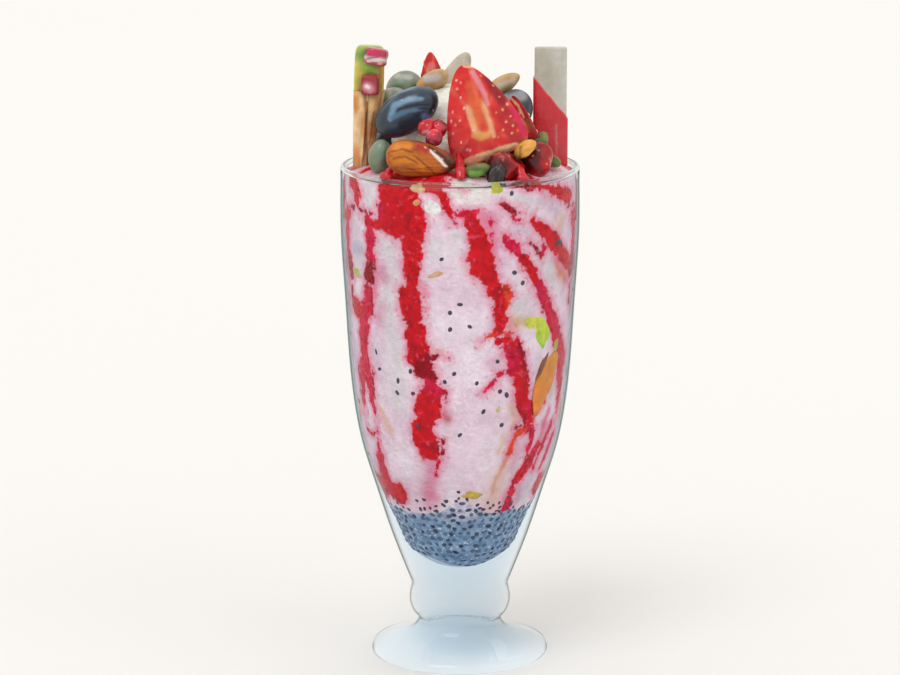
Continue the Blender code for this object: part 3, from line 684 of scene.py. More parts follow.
# %% Stains
PINK, LILAC, PALE = colour(214, 140, 170), colour(205, 176, 196), colour(214, 208, 212)
CREAM, PEACH, TAN = colour(232, 224, 220), colour(222, 178, 160), colour(208, 168, 118)
ORANGE, ROSE = colour(212, 118, 66), colour(220, 104, 138)
STAINS = (
    # colour, strength, then (turn, height, width) along the stain
    (PALE, 0.8, ((-38, 156, 9), (-38, 144, 10))),
    (PALE, 0.8, ((-41, 137, 8), (-41, 132, 8))),
    (PALE, 0.8, ((-38, 126, 7), (-36, 118, 8), (-36, 100, 9))),
    (PALE, 0.8, ((-52, 175, 6), (-51, 170, 5))),
    (PALE, 0.7, ((-65, 160, 9), (-62, 146, 7))),
    (PALE, 0.8, ((-13, 158, 6), (-12, 154, 6))),
    (PALE, 0.6, ((-1, 163, 5), (1, 156, 5))),
    (PALE, 0.7, ((58, 66, 9), (54, 60, 8))),
    (PALE, 0.7, ((44, 151, 6), (50, 146, 7), (56, 141, 6))),
    (PALE, 0.7, ((30, 136, 7), (36, 130, 5))),
    (PALE, 0.6, ((36, 80, 6), (36, 74, 6))),
    (CREAM, 0.95, ((-4, 176, 4), (4, 175.5, 7), (13, 176.5, 6))),
    (CREAM, 0.8, ((-14, 171, 7), (-13, 171, 7))),
    (PALE, 0.7, ((30, 174, 5), (38, 171, 6))),
    (LILAC, 0.8, ((46, 172, 6), (56, 167, 7))),
    (PINK, 0.8, ((-18, 77, 8), (-20, 68, 10), (-23, 62, 9))),
    (ROSE, 0.5, ((-22, 67, 7), (-17, 65, 5))),
    (PINK, 0.7, ((-42, 148, 5), (-41, 144, 5))),
    (ROSE, 0.7, ((-50, 154, 4), (-47, 146, 4.5), (-48, 138, 4))),
    (PINK, 0.6, ((-44, 134, 5), (-46, 128, 5))),
    (ROSE, 0.85, ((12, 168, 5), (15, 160, 4.4), (16, 153, 3.4))),
    (PINK, 0.5, ((18, 172, 6), (19, 164, 6))),
    (ROSE, 0.6, ((-17, 141, 4), (-20, 143, 4))),
    (LILAC, 0.7, ((33, 162, 5), (28, 163, 5))),
    (ORANGE, 0.9, ((33, 86.5, 2.8), (29, 79, 2.6), (25, 73, 2.2), (22.5, 66, 1.8))),
    (PEACH, 0.7, ((26, 73, 8), (24, 62, 9))),
    (ROSE, 0.7, ((35, 64, 6), (38, 58, 8))),
    (PINK, 0.6, ((34, 76, 5), (38, 82, 4))),
    (PEACH, 0.9, ((-50, 96, 3.4), (-44, 89, 4.4))),
    (PINK, 0.6, ((-52, 92, 4), (-56, 89, 4))),
    (TAN, 0.7, ((-13, 119.5, 2.6), (-10, 119.5, 2.2))),
    (colour(178, 82, 84), 0.95, ((-10, 97, 3.6), (-7.5, 95.5, 4.0))),
    (PEACH, 0.6, ((27, 131, 5), (29, 127, 4))),
    (ORANGE, 0.5, ((25.5, 130, 2), (26, 127, 2.4))),
    (PEACH, 0.7, ((58, 162, 6), (62, 164, 5))),
    (ORANGE, 0.85, ((57, 149, 4), (61, 145, 6), (68, 142, 6))),
    (TAN, 0.7, ((30, 99, 3.4), (32, 92, 3.2))),
    (TAN, 0.45, ((26, 88, 4), (24, 82, 3))),
    (PINK, 0.6, ((24, 119, 3), (17, 116, 5))),
    (PINK, 0.6, ((30, 109, 2.4), (24, 111, 2.4))),
    (LILAC, 0.5, ((-50, 118, 5), (-48, 108, 6))),
    (ROSE, 0.6, ((62, 88, 4), (56, 90, 4))),
    (LILAC, 0.6, ((56, 72, 6), (50, 66, 5))),
    (colour(168, 160, 188), 0.6, ((-60, 153, 6), (-66, 152, 5))),
    (TAN, 0.8, ((28, 129.6, 4), (36, 129.4, 4), (42, 129, 3))),
    (ROSE, 0.85, ((60, 95, 3.4), (56, 88, 4.0), (53, 82, 3.4))),
    (PEACH, 0.8, ((35, 112, 2.4), (35, 108, 2.0))),
    (colour(176, 178, 150), 0.55, ((62, 104, 3), (60, 99, 3))),
    (colour(188, 140, 172), 0.7, ((48, 62, 5), (46, 66, 4))),
)  # fmt: skip
print("stains:", len(STAINS))

# %% Values on the milk ice
CREAM_SPOT, EDGE_REACH, EDGE_HEIGHT = (0.5, -37.5, 4.2), 14.0, 178.5
LIGHT_MILK, DEEP_MILK, STAIN_REACH = colour(238, 222, 232), colour(226, 192, 211), 14.0


def milk_on_wall(degrees, height):
    """Milk's own colour: two pinks blended by lumps, then each stain by e^-(distance / half width)^2."""
    ring = wall_ring(degrees, height)
    tone = mix(LIGHT_MILK, DEEP_MILK, 0.5 + 0.55 * lumps(ring, 9.0, 33) + 0.2 * lumps(ring, 3.0, 35))
    degrees = degrees + 1.2 * lumps(ring, 4.0, 36)
    for (stain, strength), path in with_copies([((row[0], row[1]), row[2]) for row in STAINS]):
        near = near_path(degrees, height, path, STAIN_REACH)
        distance, half = path_distance(degrees[near], height[near], path)
        share = strength * np.exp(-((distance / half) ** 2))
        tone[near] = mix(tone[near], stain, share)
    return tone


def milk_values(points):
    """syrup, syrup_tone and milk_tone; on the mound they are those of the rim's height, fading inwards."""
    degrees = np.degrees(np.arctan2(points[:, 0], -points[:, 1]))
    out = np.hypot(points[:, 0], points[:, 1])
    flat, brim = points * (1, 1, 0), inner_radius(FILL_LEVEL)
    on_top = (np.abs(points[:, 2] - fill_surface(flat)) < 0.3) & (out < brim - 0.3)
    height = np.where(on_top, EDGE_HEIGHT, points[:, 2])
    depth, syrup_tone = syrup_on_wall(degrees, height)
    inward = np.where(on_top, ease((brim - out) / EDGE_REACH), 0)
    depth = np.where(on_top, np.clip(depth, -2.5, 3), depth) * (1 - inward)
    depth = depth + inward * (0.6 + 2.4 * lumps(flat, 5.0, 31) + 1.0 * lumps(flat, 2.0, 32))
    x, y, radius = CREAM_SPOT
    cream = np.where(on_top, ease((radius - np.hypot(points[:, 0] - x, points[:, 1] - y)) / 1.5), 0)
    depth = depth * (1 - cream) - 3 * cream
    tone = mix(milk_on_wall(degrees, height), CREAM, cream)
    return {"syrup": depth, "syrup_tone": syrup_tone, "milk_tone": tone}


milk_body = closed_body(milk)
milk_attributes = milk_values(milk_body[0])
print("share under syrup:", (milk_attributes["syrup"] > 0).mean().round(2))

# %% [markdown]
# ## Milk and syrup in one material
#
# Near a run the milk is stained pink, and a run is lighter at its thin edge than where it is thick.
# So the shader blends three colours over the depth: the milk's tone, a pink stain, and the run's
# tone, which brightens towards its edge. Noise at two sizes makes the border ragged.

# %% Milk ice material
STAINED = colour(224, 132, 158)
THICK_SYRUP, THIN_SYRUP = colour(126, 12, 28), colour(228, 78, 104)
SPECKS, SPECKS_MOST = colour(206, 44, 96), 0.75


def milk_material():
    """Milk, stained beside the runs, under syrup whose depth and tone come from the points."""
    material, tree, shader, at = blank("pink_milk_ice")
    ragged = grain(tree, at, 2.8, 3.0, -0.85, 0.75), grain(tree, at, 0.9, 2.0, -0.45, 0.45)
    depth = summed(tree, from_points(tree, "syrup", "Fac"), *ragged)
    milk_colour = scaled(tree, from_points(tree, "milk_tone"), grain(tree, at, 3.6, 5.0, 0.9, 1.08))
    milk_colour = scaled(tree, milk_colour, grain(tree, at, 1.1, 2.0, 0.94, 1.05))
    specks = ranged(tree, grain(tree, at, 1.5, 3.0), 0.72, 0.92)
    beside_run = ranged(tree, depth, -4.2, -0.8, 0, SPECKS_MOST)
    milk_colour = blended(tree, milk_colour, SPECKS, calculated(tree, specks, beside_run, "MULTIPLY"))
    milk_colour = blended(tree, milk_colour, STAINED, ranged(tree, depth, -2.8, 0.3, 0, 0.9))
    red = scaled(tree, from_points(tree, "syrup_tone"), ranged(tree, depth, 0.1, 1.4, 1.3, 1.08))
    red = scaled(tree, red, grain(tree, at, 1.8, 3.0, 0.66, 1.24))
    red = blended(tree, red, THICK_SYRUP, ranged(tree, grain(tree, at, 3.6, 2.0), 0.6, 0.95, 0, 0.6))
    red = blended(tree, red, THIN_SYRUP, ranged(tree, grain(tree, at, 2.0, 3.0), 0.74, 0.96, 0, 0.6))
    edge = ranged(tree, depth, -0.1, 0.4)
    plug(tree, shader, {"Base Color": blended(tree, milk_colour, red, edge), "Specular IOR Level": 0.12})
    plug(tree, shader, {"Roughness": ranged(tree, edge, 0, 1, 0.5, 0.2)})
    relieved(tree, shader, calculated(tree, grain(tree, at, 1.6), edge, "ADD"), 0.25)
    return material


milk_ice = piece("pink_milk_ice", milk_body, milk_material(), milk_attributes, replaces="milk_ice")
print("milk ice faces:", len(milk_ice.data.polygons))

# %% [markdown]
# ## Basil seeds
#
# Soaked basil seeds are small black seeds, each in a coat of clear jelly that looks blue-grey in a
# heap. The jelly between them is one body that reaches into the wall. The seeds are real
# meshes, scattered on it in staggered rows with some disorder, and each is an oval of a few dozen
# faces. Pale flecks between them are where the jelly coats catch the light.

# %% Places on the wall, and an oval
def seed_rings():
    """Rings from the cavity's floor up the wall to the seed line, and inwards under the milk ice."""
    line = seed_line(wall_turn)
    depth = np.linspace(0.12, 1, 40)[:, None] ** 1.3
    height = CAVITY_FLOOR + (line - CAVITY_FLOOR) * depth
    side = around(inner_radius(height) + INTO_WALL, height, WALL_COLUMNS)
    inside = around(inner_radius(line) * 0.95, line + 0.8, WALL_COLUMNS)
    return np.concatenate([side, inside[None]])


def on_wall(degrees, height, out=0.0):
    """Points on the inside of the wall, and for each a frame of axes: right, up along the wall, outwards."""
    turn = np.radians(degrees)
    radius = inner_radius(height)
    slope = (inner_radius(height + 0.5) - inner_radius(height - 0.5)) / 1.0
    outwards = np.stack([np.sin(turn), -np.cos(turn), 0 * turn], axis=-1)
    right = np.stack([np.cos(turn), np.sin(turn), 0 * turn], axis=-1)
    up = unit(outwards * slope[:, None] + (0, 0, 1))
    normal = np.cross(right, up)
    points = outwards * radius[:, None] + np.stack([0 * turn, 0 * turn, height], axis=-1) + normal * out
    return points, np.stack([right, up, normal], axis=-1)


def small_oval(rows, columns):
    """An oval of radius 1: rings at equal steps of latitude, and its two poles."""
    latitude = np.linspace(0, math.pi, rows + 1)[1:-1, None]
    longitude = 2 * math.pi * np.arange(columns) / columns
    out = np.sin(latitude)
    rings = [out * np.cos(longitude), out * np.sin(longitude), np.cos(latitude) + 0 * longitude]
    return closed_body(np.stack(rings, axis=-1), np.array([[0, 0, 1], [0, 0, -1]], float))


def turned_frames(frames, turns, sizes):
    """The frames turned about their third axis, their axes then scaled to the sizes."""
    c, s, zero = np.cos(turns), np.sin(turns), 0 * turns
    rows = ((c, -s, zero), (s, c, zero), (zero, zero, zero + 1))
    spin = np.stack([np.stack(row, axis=-1) for row in rows], axis=1)
    return frames @ spin * sizes[:, None, :]


print("inside of the wall at the seeds:", round(float(inner_radius(57.4)), 1), "mm")


# %% Jelly of the seeds
def jelly_material():
    """Blue-grey jelly with pale flecks, lilac where it is pale, and nearly clear under the seeds."""
    material, tree, shader, at = blank("seed_jelly")
    tone = blended(tree, colour(70, 108, 150), colour(140, 170, 202), grain(tree, at, 2.6))
    flecks = ranged(tree, grain(tree, at, 1.2, 1.0), 0.8, 1.0)
    tone = blended(tree, tone, colour(186, 208, 220), flecks)
    light = blended(tree, colour(172, 150, 188), colour(232, 228, 238), grain(tree, at, 1.5))
    tone = blended(tree, tone, light, from_points(tree, "pale", "Fac"))
    tone = blended(tree, tone, colour(196, 210, 218), from_points(tree, "clear", "Fac"))
    plug(tree, shader, {"Base Color": tone, "Roughness": 0.25})
    relieved(tree, shader, grain(tree, at, 1.5), 0.2)
    return material


SEED_FLOOR = 40.0


def seeds_end(degrees):
    """Below this height the jelly holds no seeds: lowest right of the front, and higher on the left."""
    return SEED_FLOOR - 6.5 * bump((degrees + 180) % 360 - 180, 18.0, 42.0)


def jelly_values(points):
    """pale: towards white on the heap and along the top edge. clear: where the jelly holds no seeds."""
    degrees = np.degrees(np.arctan2(points[:, 0], -points[:, 1]))
    heap = bump(degrees, 2, 17) * ease((points[:, 2] - 53) / 7)
    edge = 0.35 * ease((points[:, 2] - seed_line(np.radians(degrees)) + 2.5) / 2.5)
    pale = np.clip(np.maximum(heap, edge) + 0.15 * lumps(points, 3.0, 37), 0, 1)
    clear = ease((seeds_end(degrees) - points[:, 2] + 1.2 * lumps(points, 2.2, 38)) / 1.6)
    return {"pale": pale, "clear": clear}


jelly_body = closed_body(seed_rings())
jelly_paint = jelly_values(jelly_body[0])
seed_jelly = piece("seed_jelly", jelly_body, jelly_material(), jelly_paint, replaces="basil_seeds")
print("jelly faces:", len(seed_jelly.data.polygons))

# %% [markdown]
# ## Scatter the seeds
#
# The rows stand a little closer than the seeds in a row, and every other row is shifted by half a
# step. Each seed is then shaken and turned by random numbers from one seeded generator, so the
# scatter is the same on every run.

# %% Seeds on the wall
random = np.random.default_rng(7)
SEED_SPACING, SEEDS_TOP, SEEDS_KEPT = 2.85, 66.0, 0.95


def wall_seeds():
    """Turns and heights of the seeds: staggered rows up the wall, shaken, those above the line left out."""
    turns, heights = [], []
    for row, height in enumerate(np.arange(CAVITY_FLOOR + 3.0, SEEDS_TOP, SEED_SPACING * 0.86)):
        count = int(2 * math.pi * inner_radius(height) / SEED_SPACING)
        turns.append((np.arange(count) + 0.5 * (row % 2)) * 360 / count)
        heights.append(np.full(count, height))
    turns, heights = np.concatenate(turns), np.concatenate(heights)
    turns = turns + random.uniform(-1.5, 1.5, len(turns))
    heights = heights + random.uniform(-0.65, 0.65, len(heights))
    kept = (heights < seed_line(np.radians(turns)) + 0.2) & (heights > seeds_end(turns))
    kept = kept & (random.random(len(turns)) < SEEDS_KEPT)
    return turns[kept], heights[kept]


seed_turns, seed_heights = wall_seeds()
seed_places, seed_frames = on_wall(seed_turns, seed_heights, 0.12)
seed_sizes = random.uniform((0.65, 0.8, 0.22), (1.0, 1.3, 0.24), (len(seed_turns), 3))
seed_frames = turned_frames(seed_frames, random.uniform(0, math.pi, len(seed_turns)), seed_sizes)
seed = small_oval(4, 8)
seed_body = copies(seed, seed_places, seed_frames)
seed_tone = np.repeat(random.random(len(seed_turns)), len(seed[0]))
seed_paint = mix(colour(26, 40, 64), colour(86, 120, 152), seed_tone**1.3)
seed_finish = food("basil_seed_skin", 0.35, 0.1, 0.8, 0.02, coat=0.3)
piece("basil_seed_scatter", seed_body, seed_finish, {"paint": seed_paint})
print("seeds on the wall:", len(seed_turns))

# %% [markdown]
# ## Seeds and fruit in the milk ice
#
# A few basil seeds and pieces of candied fruit have sunk into the milk ice and show against the
# glass. They are flat ovals and drops that stand just proud of the milk ice, in the wall's frame.

# %% Sunk seeds
DOTS = (
    (0, 137), (-5, 134), (-5, 128), (5, 129), (-9, 153), (26, 175.5), (28, 147.5), (33, 143.5),
    (-3, 112), (9, 108.5), (-8, 109), (-27, 112), (-35, 108), (-36, 103.5), (-26, 104), (-50, 117),
    (-48, 111), (24, 92.5), (0, 89.5), (13, 98), (20, 116), (26, 103.5), (22, 105), (-24, 92),
    (-10, 63.5), (-12, 62), (13, 62), (18, 60),
)  # fmt: skip
BACK_DOTS, STRAYS = 60, 110
strays = random.uniform(0, 360, STRAYS)
loose_turns = np.concatenate([[turn for turn, _ in DOTS], random.uniform(75, 285, BACK_DOTS), strays])
stray_heights = seed_line(np.radians(strays)) + 0.8 + 5.5 * random.random(len(strays)) ** 2
back_heights = random.uniform(66, 172, BACK_DOTS)
loose_heights = np.concatenate([[level for _, level in DOTS], back_heights, stray_heights])
dot_places, dot_frames = on_wall(loose_turns, loose_heights, 0.1)
dot_sizes = random.uniform((0.6, 0.85, 0.2), (0.9, 1.25, 0.25), (len(loose_turns), 3))
dot_sizes[len(DOTS) + BACK_DOTS:] *= (0.8, 0.8, 1)
dot_frames = turned_frames(dot_frames, random.uniform(0, math.pi, len(loose_turns)), dot_sizes)
dot_body = copies(small_oval(5, 10), dot_places, dot_frames)
dot_paint = np.broadcast_to(colour(66, 56, 80), dot_body[0].shape)
piece("sunk_seeds", dot_body, seed_finish, {"paint": dot_paint})
print("sunk seeds:", len(loose_turns))

# %% Sunk pieces of fruit
BITS = (
    # turn, height, width, length, turned, first colour, second colour
    (41.5, 128.6, 4.6, 9.0, 78, colour(214, 208, 70), colour(196, 204, 60)),
    (47.5, 124.0, 6.4, 10.5, 22, colour(150, 196, 40), colour(196, 208, 52)),
    (52.0, 105.5, 12.5, 21.0, -24, colour(222, 122, 16), colour(212, 136, 34)),
    (48.0, 110.5, 2.6, 12.0, -30, colour(138, 78, 26), colour(120, 60, 24)),
    (61, 118, 3.4, 6.0, -30, colour(178, 166, 60), colour(160, 150, 60)),
    (-21, 177.4, 3.4, 5.6, 80, colour(216, 168, 122), colour(222, 186, 140)),
    (-21.5, 172.6, 2.6, 2.4, 0, colour(216, 150, 90), colour(206, 120, 90)),
    (-13.5, 171.4, 5.4, 5.6, -15, colour(236, 230, 230), colour(222, 214, 222)),
    (-12.5, 147.4, 1.8, 5.4, -72, colour(206, 178, 150), colour(204, 150, 92)),
    (9, 66, 3.2, 7.4, 86, colour(198, 168, 66), colour(190, 160, 60)),
    (-64, 144, 3.0, 6.0, 70, colour(190, 186, 92), colour(160, 166, 76)),
    (18, 177.4, 3.6, 4.6, 60, colour(186, 190, 44), colour(202, 196, 70)),
    (58, 155.4, 2.6, 4.6, 80, colour(60, 30, 34), colour(90, 40, 44)),
    (21.5, 98.5, 1.6, 2.8, 0, colour(196, 182, 110), colour(206, 190, 130)),
    (120, 150, 5.0, 7.0, 30, colour(206, 122, 34), colour(176, 104, 40)),
    (165, 120, 6.0, 6.0, 60, colour(176, 190, 44), colour(206, 200, 78)),
    (205, 90, 5.0, 8.0, -20, colour(206, 122, 34), colour(210, 128, 60)),
    (255, 135, 4.6, 7.0, 15, colour(166, 61, 63), colour(190, 90, 90)),
    (228, 164, 4.0, 5.0, 70, colour(176, 190, 44), colour(140, 176, 48)),
    (95, 105, 4.0, 6.0, -40, colour(206, 122, 34), colour(176, 104, 40)),
)
LUMPY_BITS = 0.55


def sunk_bits():
    """Each bit an oval whose radius is changed by lumps of its own, set flat in the wall's frame."""
    table = np.array([bit[:5] for bit in BITS], float)
    places, frames = on_wall(table[:, 0], table[:, 1], 0.05)
    sizes = np.stack([table[:, 2] / 2, table[:, 3] / 2, np.full(len(BITS), 0.3)], axis=-1)
    points, quads, triangles = small_oval(12, 36)
    turns = turned_frames(frames, np.radians(table[:, 4]), sizes)
    bodies = []
    out = np.hypot(points[:, 0], points[:, 1])
    ring = points * (1, 1, 0) / np.maximum(out, 1e-6)[:, None]
    for i in range(len(BITS)):
        swell = 1 + LUMPY_BITS * lumps(ring, 0.8, 100 + i) * (out > 0.01)
        shape = points * np.stack([swell, swell, 0 * swell + 1], axis=-1)
        bodies.append((shape @ turns[i].T + places[i], quads, triangles))
    return joined(bodies), np.tile(points[:, 1], len(BITS))


bit_body, bit_along = sunk_bits()
each = len(bit_body[0]) // len(BITS)
bit_paint = mix(
    np.repeat([bit[5] for bit in BITS], each, axis=0), np.repeat([bit[6] for bit in BITS], each, axis=0),
    0.5 + 0.5 * bit_along + 0.5 * lumps(bit_body[0], 1.6, 41),
)  # fmt: skip
bit_paint = bit_paint * (1 + 0.25 * lumps(bit_body[0], 1.0, 42))[:, None]
jelly_finish = food("candied_fruit", 0.22, 0.14, 1.5, 0.07, coat=0.35, through=0.1)
piece("sunk_fruit", bit_body, jelly_finish, {"paint": bit_paint})
print("sunk bits:", len(BITS))

# %% [markdown]
# ## Toppings from a side curve and a section
#
# Fruit and nuts are all long bodies. A side curve says how thick the body is at each share t of its
# length, and a section says what outline it has there at each angle a. Their product, with a little
# detail, is the surface. The same few curves give grapes, almonds, cherries and berries, so a new
# kind costs one line.

# %% Side curves and sections
def oval(t):
    """A circle's half-height."""
    return np.sqrt(np.clip(1 - (2 * t - 1) ** 2, 0, 1))


def egg(t):
    """Blunt at the start and drawn to a point at the end, as an almond is."""
    return oval(t) * (1.16 - 0.42 * t - 0.12 * np.sin(np.pi * t))


def drop(t):
    """Full near the start and slimmer towards the end."""
    return 1.05 * np.clip(np.sin(np.pi * t**0.8), 0, 1) ** 0.8


def berry(t):
    """A strawberry's side from the blunt leaf end to the tip."""
    return np.clip(np.sin(np.pi * t**0.4), 0, 1) ** 0.54


def block(t):
    """Nearly even from end to end, with rounded ends."""
    return np.clip(1 - np.abs(2 * t - 1) ** 6, 0, 1) ** (1 / 6)


def round_section(a, t):
    """(cos a, sin a)."""
    return np.cos(a), np.sin(a)


def square_section(a, t):
    """A square with rounded corners: the superellipse of power 5."""
    size = (np.abs(np.cos(a)) ** 5 + np.abs(np.sin(a)) ** 5) ** -0.2
    return np.cos(a) * size, np.sin(a) * size


def halved_section(a, t):
    """Round behind, and a cut face in front that stands a little proud."""
    return np.cos(a), np.where(np.sin(a) > 0, np.sin(a), 0.1 * np.sin(a))


def faceted_section(a, t):
    """Five soft sides that turn a little along the body: radius 1 + 0.07 cos(5a + 3t)."""
    size = 1 + 0.07 * np.cos(5 * a + 3 * t)
    return size * np.cos(a), size * np.sin(a)


def wrinkled_section(a, t):
    """Four deep folds that turn along the body, under nine shallow ones."""
    size = 1 + 0.13 * np.cos(4 * a + 7 * t) * np.sin(np.pi * t) + 0.05 * np.cos(9 * a)
    return size * np.cos(a), size * np.sin(a)


def topping_points(t, a, size, side, section, bend, detail):
    """Points along X: the section times the side curve, swollen by the detail, and bent as a parabola."""
    length, width, height = size
    across, up = section(a, t)
    swell = side(t) * (1 + detail(t, a))
    y = across * swell * width / 2 + bend * (2 * t - 1) ** 2
    return np.stack([length * (t - 0.5), y, up * swell * height / 2], axis=-1)


def topping_grid(rows, columns):
    """Shares t, closer at the ends, and angles a, as two grids."""
    t = (1 - np.cos(np.linspace(0, math.pi, rows + 1)[1:-1])) / 2
    return np.meshgrid(t, 2 * math.pi * np.arange(columns) / columns, indexing="ij")


def turned_by(tilt, lean):
    """The rotation of three tilts, then of leaning back."""
    turn = Matrix.Rotation(math.radians(-lean), 3, "X") @ Euler([math.radians(x) for x in tilt]).to_matrix()
    return np.array(turn)


def placed(points, place, tilt, lean=0.0):
    """Points turned by the three tilts, leant back, and moved to their place."""
    return points @ turned_by(tilt, lean).T + place


print("half-way side of an almond:", egg(np.array(0.5)).round(2))

# %% [markdown]
# ## Details and colours of each kind
#
# The detail of a kind is what swells or sinks its surface: an almond's ridges, a raisin's
# wrinkles, the pits round a strawberry's seeds. Its paint is a formula of the place on it, worked
# out for all points at once. Each gives the colour that the food finish then mottles.

# %% Details
SEED_LATTICES = {"berry": (11, 16), "small berry": (7, 9)}


def smooth_skin(t, a):
    """Hardly any: 0.006 cos(3a + 4t)."""
    return 0.006 * np.cos(3 * a + 4 * t)


def lumpy_skin(t, a):
    """Three to five soft lumps round the body that shift along it, least at its ends."""
    swell = 0.07 * np.sin(3 * a + 2.2 * np.sin(5 * t)) + 0.05 * np.sin(5 * a - 7 * t)
    return swell * np.sin(np.pi * t) ** 0.5


def almond_ridges(t, a):
    """Ridges along the nut that wander, fading out at both ends."""
    wander = a + 0.25 * np.sin(5 * t + 2 * a)
    return (0.022 * np.sin(15 * wander) + 0.014 * np.sin(26 * wander + 3 * t)) * np.sin(np.pi * t) ** 0.5


def creases(t, a):
    """A few long folds on one side, deepest towards the end."""
    return -0.05 * bump(np.sin(3 * a + 1.2 * t), -1, 0.5) * ease((t - 0.25) / 0.5) * ease((1 - t) / 0.15)


def wrinkles(t, a):
    """Crossing waves, cut by a few sharp folds."""
    return 0.07 * np.sin(6 * a + 9 * t) * np.sin(9 * t + 2 * a) - 0.05 * bump(np.sin(4 * a + 5 * t), 0, 0.25)


def seed_pits(kind):
    """The detail of a kind of berry: a pit in each cell of a staggered lattice on its round side."""
    rows, columns = SEED_LATTICES[kind]

    def pits(t, a):
        """-0.035 e^-(d / 0.22)^2 at the distance d from a cell's middle, over five low sides."""
        row = t * rows
        column = a * columns / (2 * np.pi) + 0.5 * (np.floor(row) % 2)
        off = np.hypot((row % 1 - 0.5) * 1.2, column % 1 - 0.5)
        return np.where(np.sin(a) > 0.02, -0.035 * np.exp(-((off / 0.22) ** 2)), 0) + 0.01 * np.cos(5 * a)

    return pits


def kernel_lines(t, a):
    """Seven wandering ridges, and the seam between the kernel's halves."""
    return 0.03 * np.sin(7 * a + 2 * np.sin(6 * t)) - 0.06 * bump(np.sin(a / 2), 0, 0.08)


print("deepest pit:", seed_pits("berry")(*topping_grid(60, 120)).min().round(3))

# %% [markdown]
# ## Paint of each kind
#
# p is the place on the body before it is turned, t the share of its length and a the angle round it.
# Most paints blend two tones by noise. Noise stretched along the body, by scaling p, gives streaks.

# %% Paints of nuts and grapes
def two_tones(p, first, second, size, seed, spread=0.6):
    """Two screen colours blended by noise of this size: share 1/2 + spread times the noise."""
    return mix(colour(*first), colour(*second), 0.5 + spread * lumps(p, size, seed))


def almond_paint(p, t, a):
    """Orange-brown with dark lines in the furrows, darker at the pointed end."""
    streak = lumps(p * (0.18, 1, 1), 1.1, 51)
    base = two_tones(p * (0.5, 1, 1), (158, 72, 18), (206, 112, 30), 4.0, 52, 0.7)
    base = mix(base, colour(112, 54, 24), ease((streak - 0.1) / 0.5) * 0.75)
    return mix(base, colour(96, 46, 32), ease((t - 0.72) / 0.22) * 0.85)


def grape_paint(p, t, a):
    """Blue-black, with a painted highlight along the upper side, broken into streaks, and a painted glint
    near the end.
    """
    base = two_tones(p, (36, 48, 60), (56, 70, 86), 4.0, 53, 0.5)
    # painted highlight: paler along the upper side, where the light falls, in streaks
    up = np.cos(a - 1.25)
    painted_highlight = ease((up - 0.45) / 0.5) * ease((t - 0.1) / 0.2) * ease((0.9 - t) / 0.2)
    stripes = ease((lumps(p * (0.12, 1, 1), 1.6, 54) + 0.35) / 0.5)
    base = mix(base, colour(128, 158, 182), painted_highlight * stripes * 0.85)
    # painted glint: a lilac spot near the end
    end = bump(t, 0.86, 0.07) * bump(np.cos(a - 0.2), 1, 0.35)
    return mix(base, colour(150, 160, 205), end * 0.9)


def green_paint(p, t, a):
    """Grey-green with pale spots."""
    base = two_tones(p, (112, 122, 102), (146, 152, 132), 3.5, 55)
    return mix(base, colour(160, 168, 140), 0.4 * bump(lumps(p, 5.0, 56), 0.7, 0.3))


def cashew_paint(p, t, a):
    """Two tans blended by noise."""
    return two_tones(p, (206, 176, 128), (176, 138, 92), 3.0, 57)


def ghost_nut_paint(p, t, a):
    """Ivory, toasted at the blunt end."""
    base = two_tones(p, (208, 200, 186), (182, 172, 154), 3.0, 58)
    return mix(base, colour(206, 150, 84), ease((0.3 - t) / 0.2) * 0.7)


def pistachio_paint(p, t, a):
    """Two greens, with patches of purple skin."""
    base = two_tones(p, (92, 108, 48), (140, 146, 76), 1.8, 59)
    return mix(base, colour(112, 70, 66), ease((lumps(p, 2.6, 60) - 0.25) / 0.4) * 0.6)


def raisin_paint(p, t, a):
    """Two dark browns blended by noise."""
    return mix(colour(34, 24, 28), colour(78, 58, 62), 0.35 + 0.7 * lumps(p, 1.6, 61))


print("paints of nuts and grapes ready")


# %% Paints of candied fruit
def cherry_paint(p, t, a):
    """Red, nearly black in large patches."""
    base = two_tones(p, (148, 8, 12), (196, 22, 22), 3.5, 62)
    return mix(base, colour(46, 10, 16), ease((lumps(p, 4.5, 63) - 0.1) / 0.5) * 0.8)


def aril_paint(p, t, a):
    """Red, paler where the clear flesh is thin."""
    return mix(colour(190, 8, 28), colour(232, 60, 78), ease((lumps(p, 3.0, 64) + 0.1) / 0.9))


def yellow_paint(p, t, a):
    """Two ambers blended by noise."""
    return two_tones(p, (198, 170, 56), (216, 150, 60), 3.0, 65, 0.7)


def pink_paint(p, t, a):
    """Pink, with a pale band across it."""
    base = two_tones(p, (198, 74, 96), (168, 46, 66), 2.5, 66)
    return mix(base, colour(226, 216, 222), 0.8 * bump(p[:, 0], -0.6, 0.7))


def red_cube_paint(p, t, a):
    """Dark red round a paler middle: a painted highlight."""
    # painted highlight: paler towards the middle of the cube
    heart = bump(np.hypot(p[:, 0], p[:, 1]), 0, 1.9)
    return mix(colour(158, 40, 48), colour(214, 132, 138), heart)


def green_to_yellow_paint(p, t, a):
    """Leaf green at one end, through lime to amber at the other."""
    green = two_tones(p, (150, 178, 88), (188, 196, 92), 2.0, 67)
    amber = two_tones(p * (0.3, 1, 1), (206, 190, 76), (204, 150, 64), 2.0, 68, 0.7)
    return mix(amber, green, ease((0.62 * t + 0.3 * lumps(p, 4.0, 69) - 0.25) / 0.3))


print("paints of candied fruit ready")

# %% Paint of a strawberry
LARGEST_BERRY = 34.0


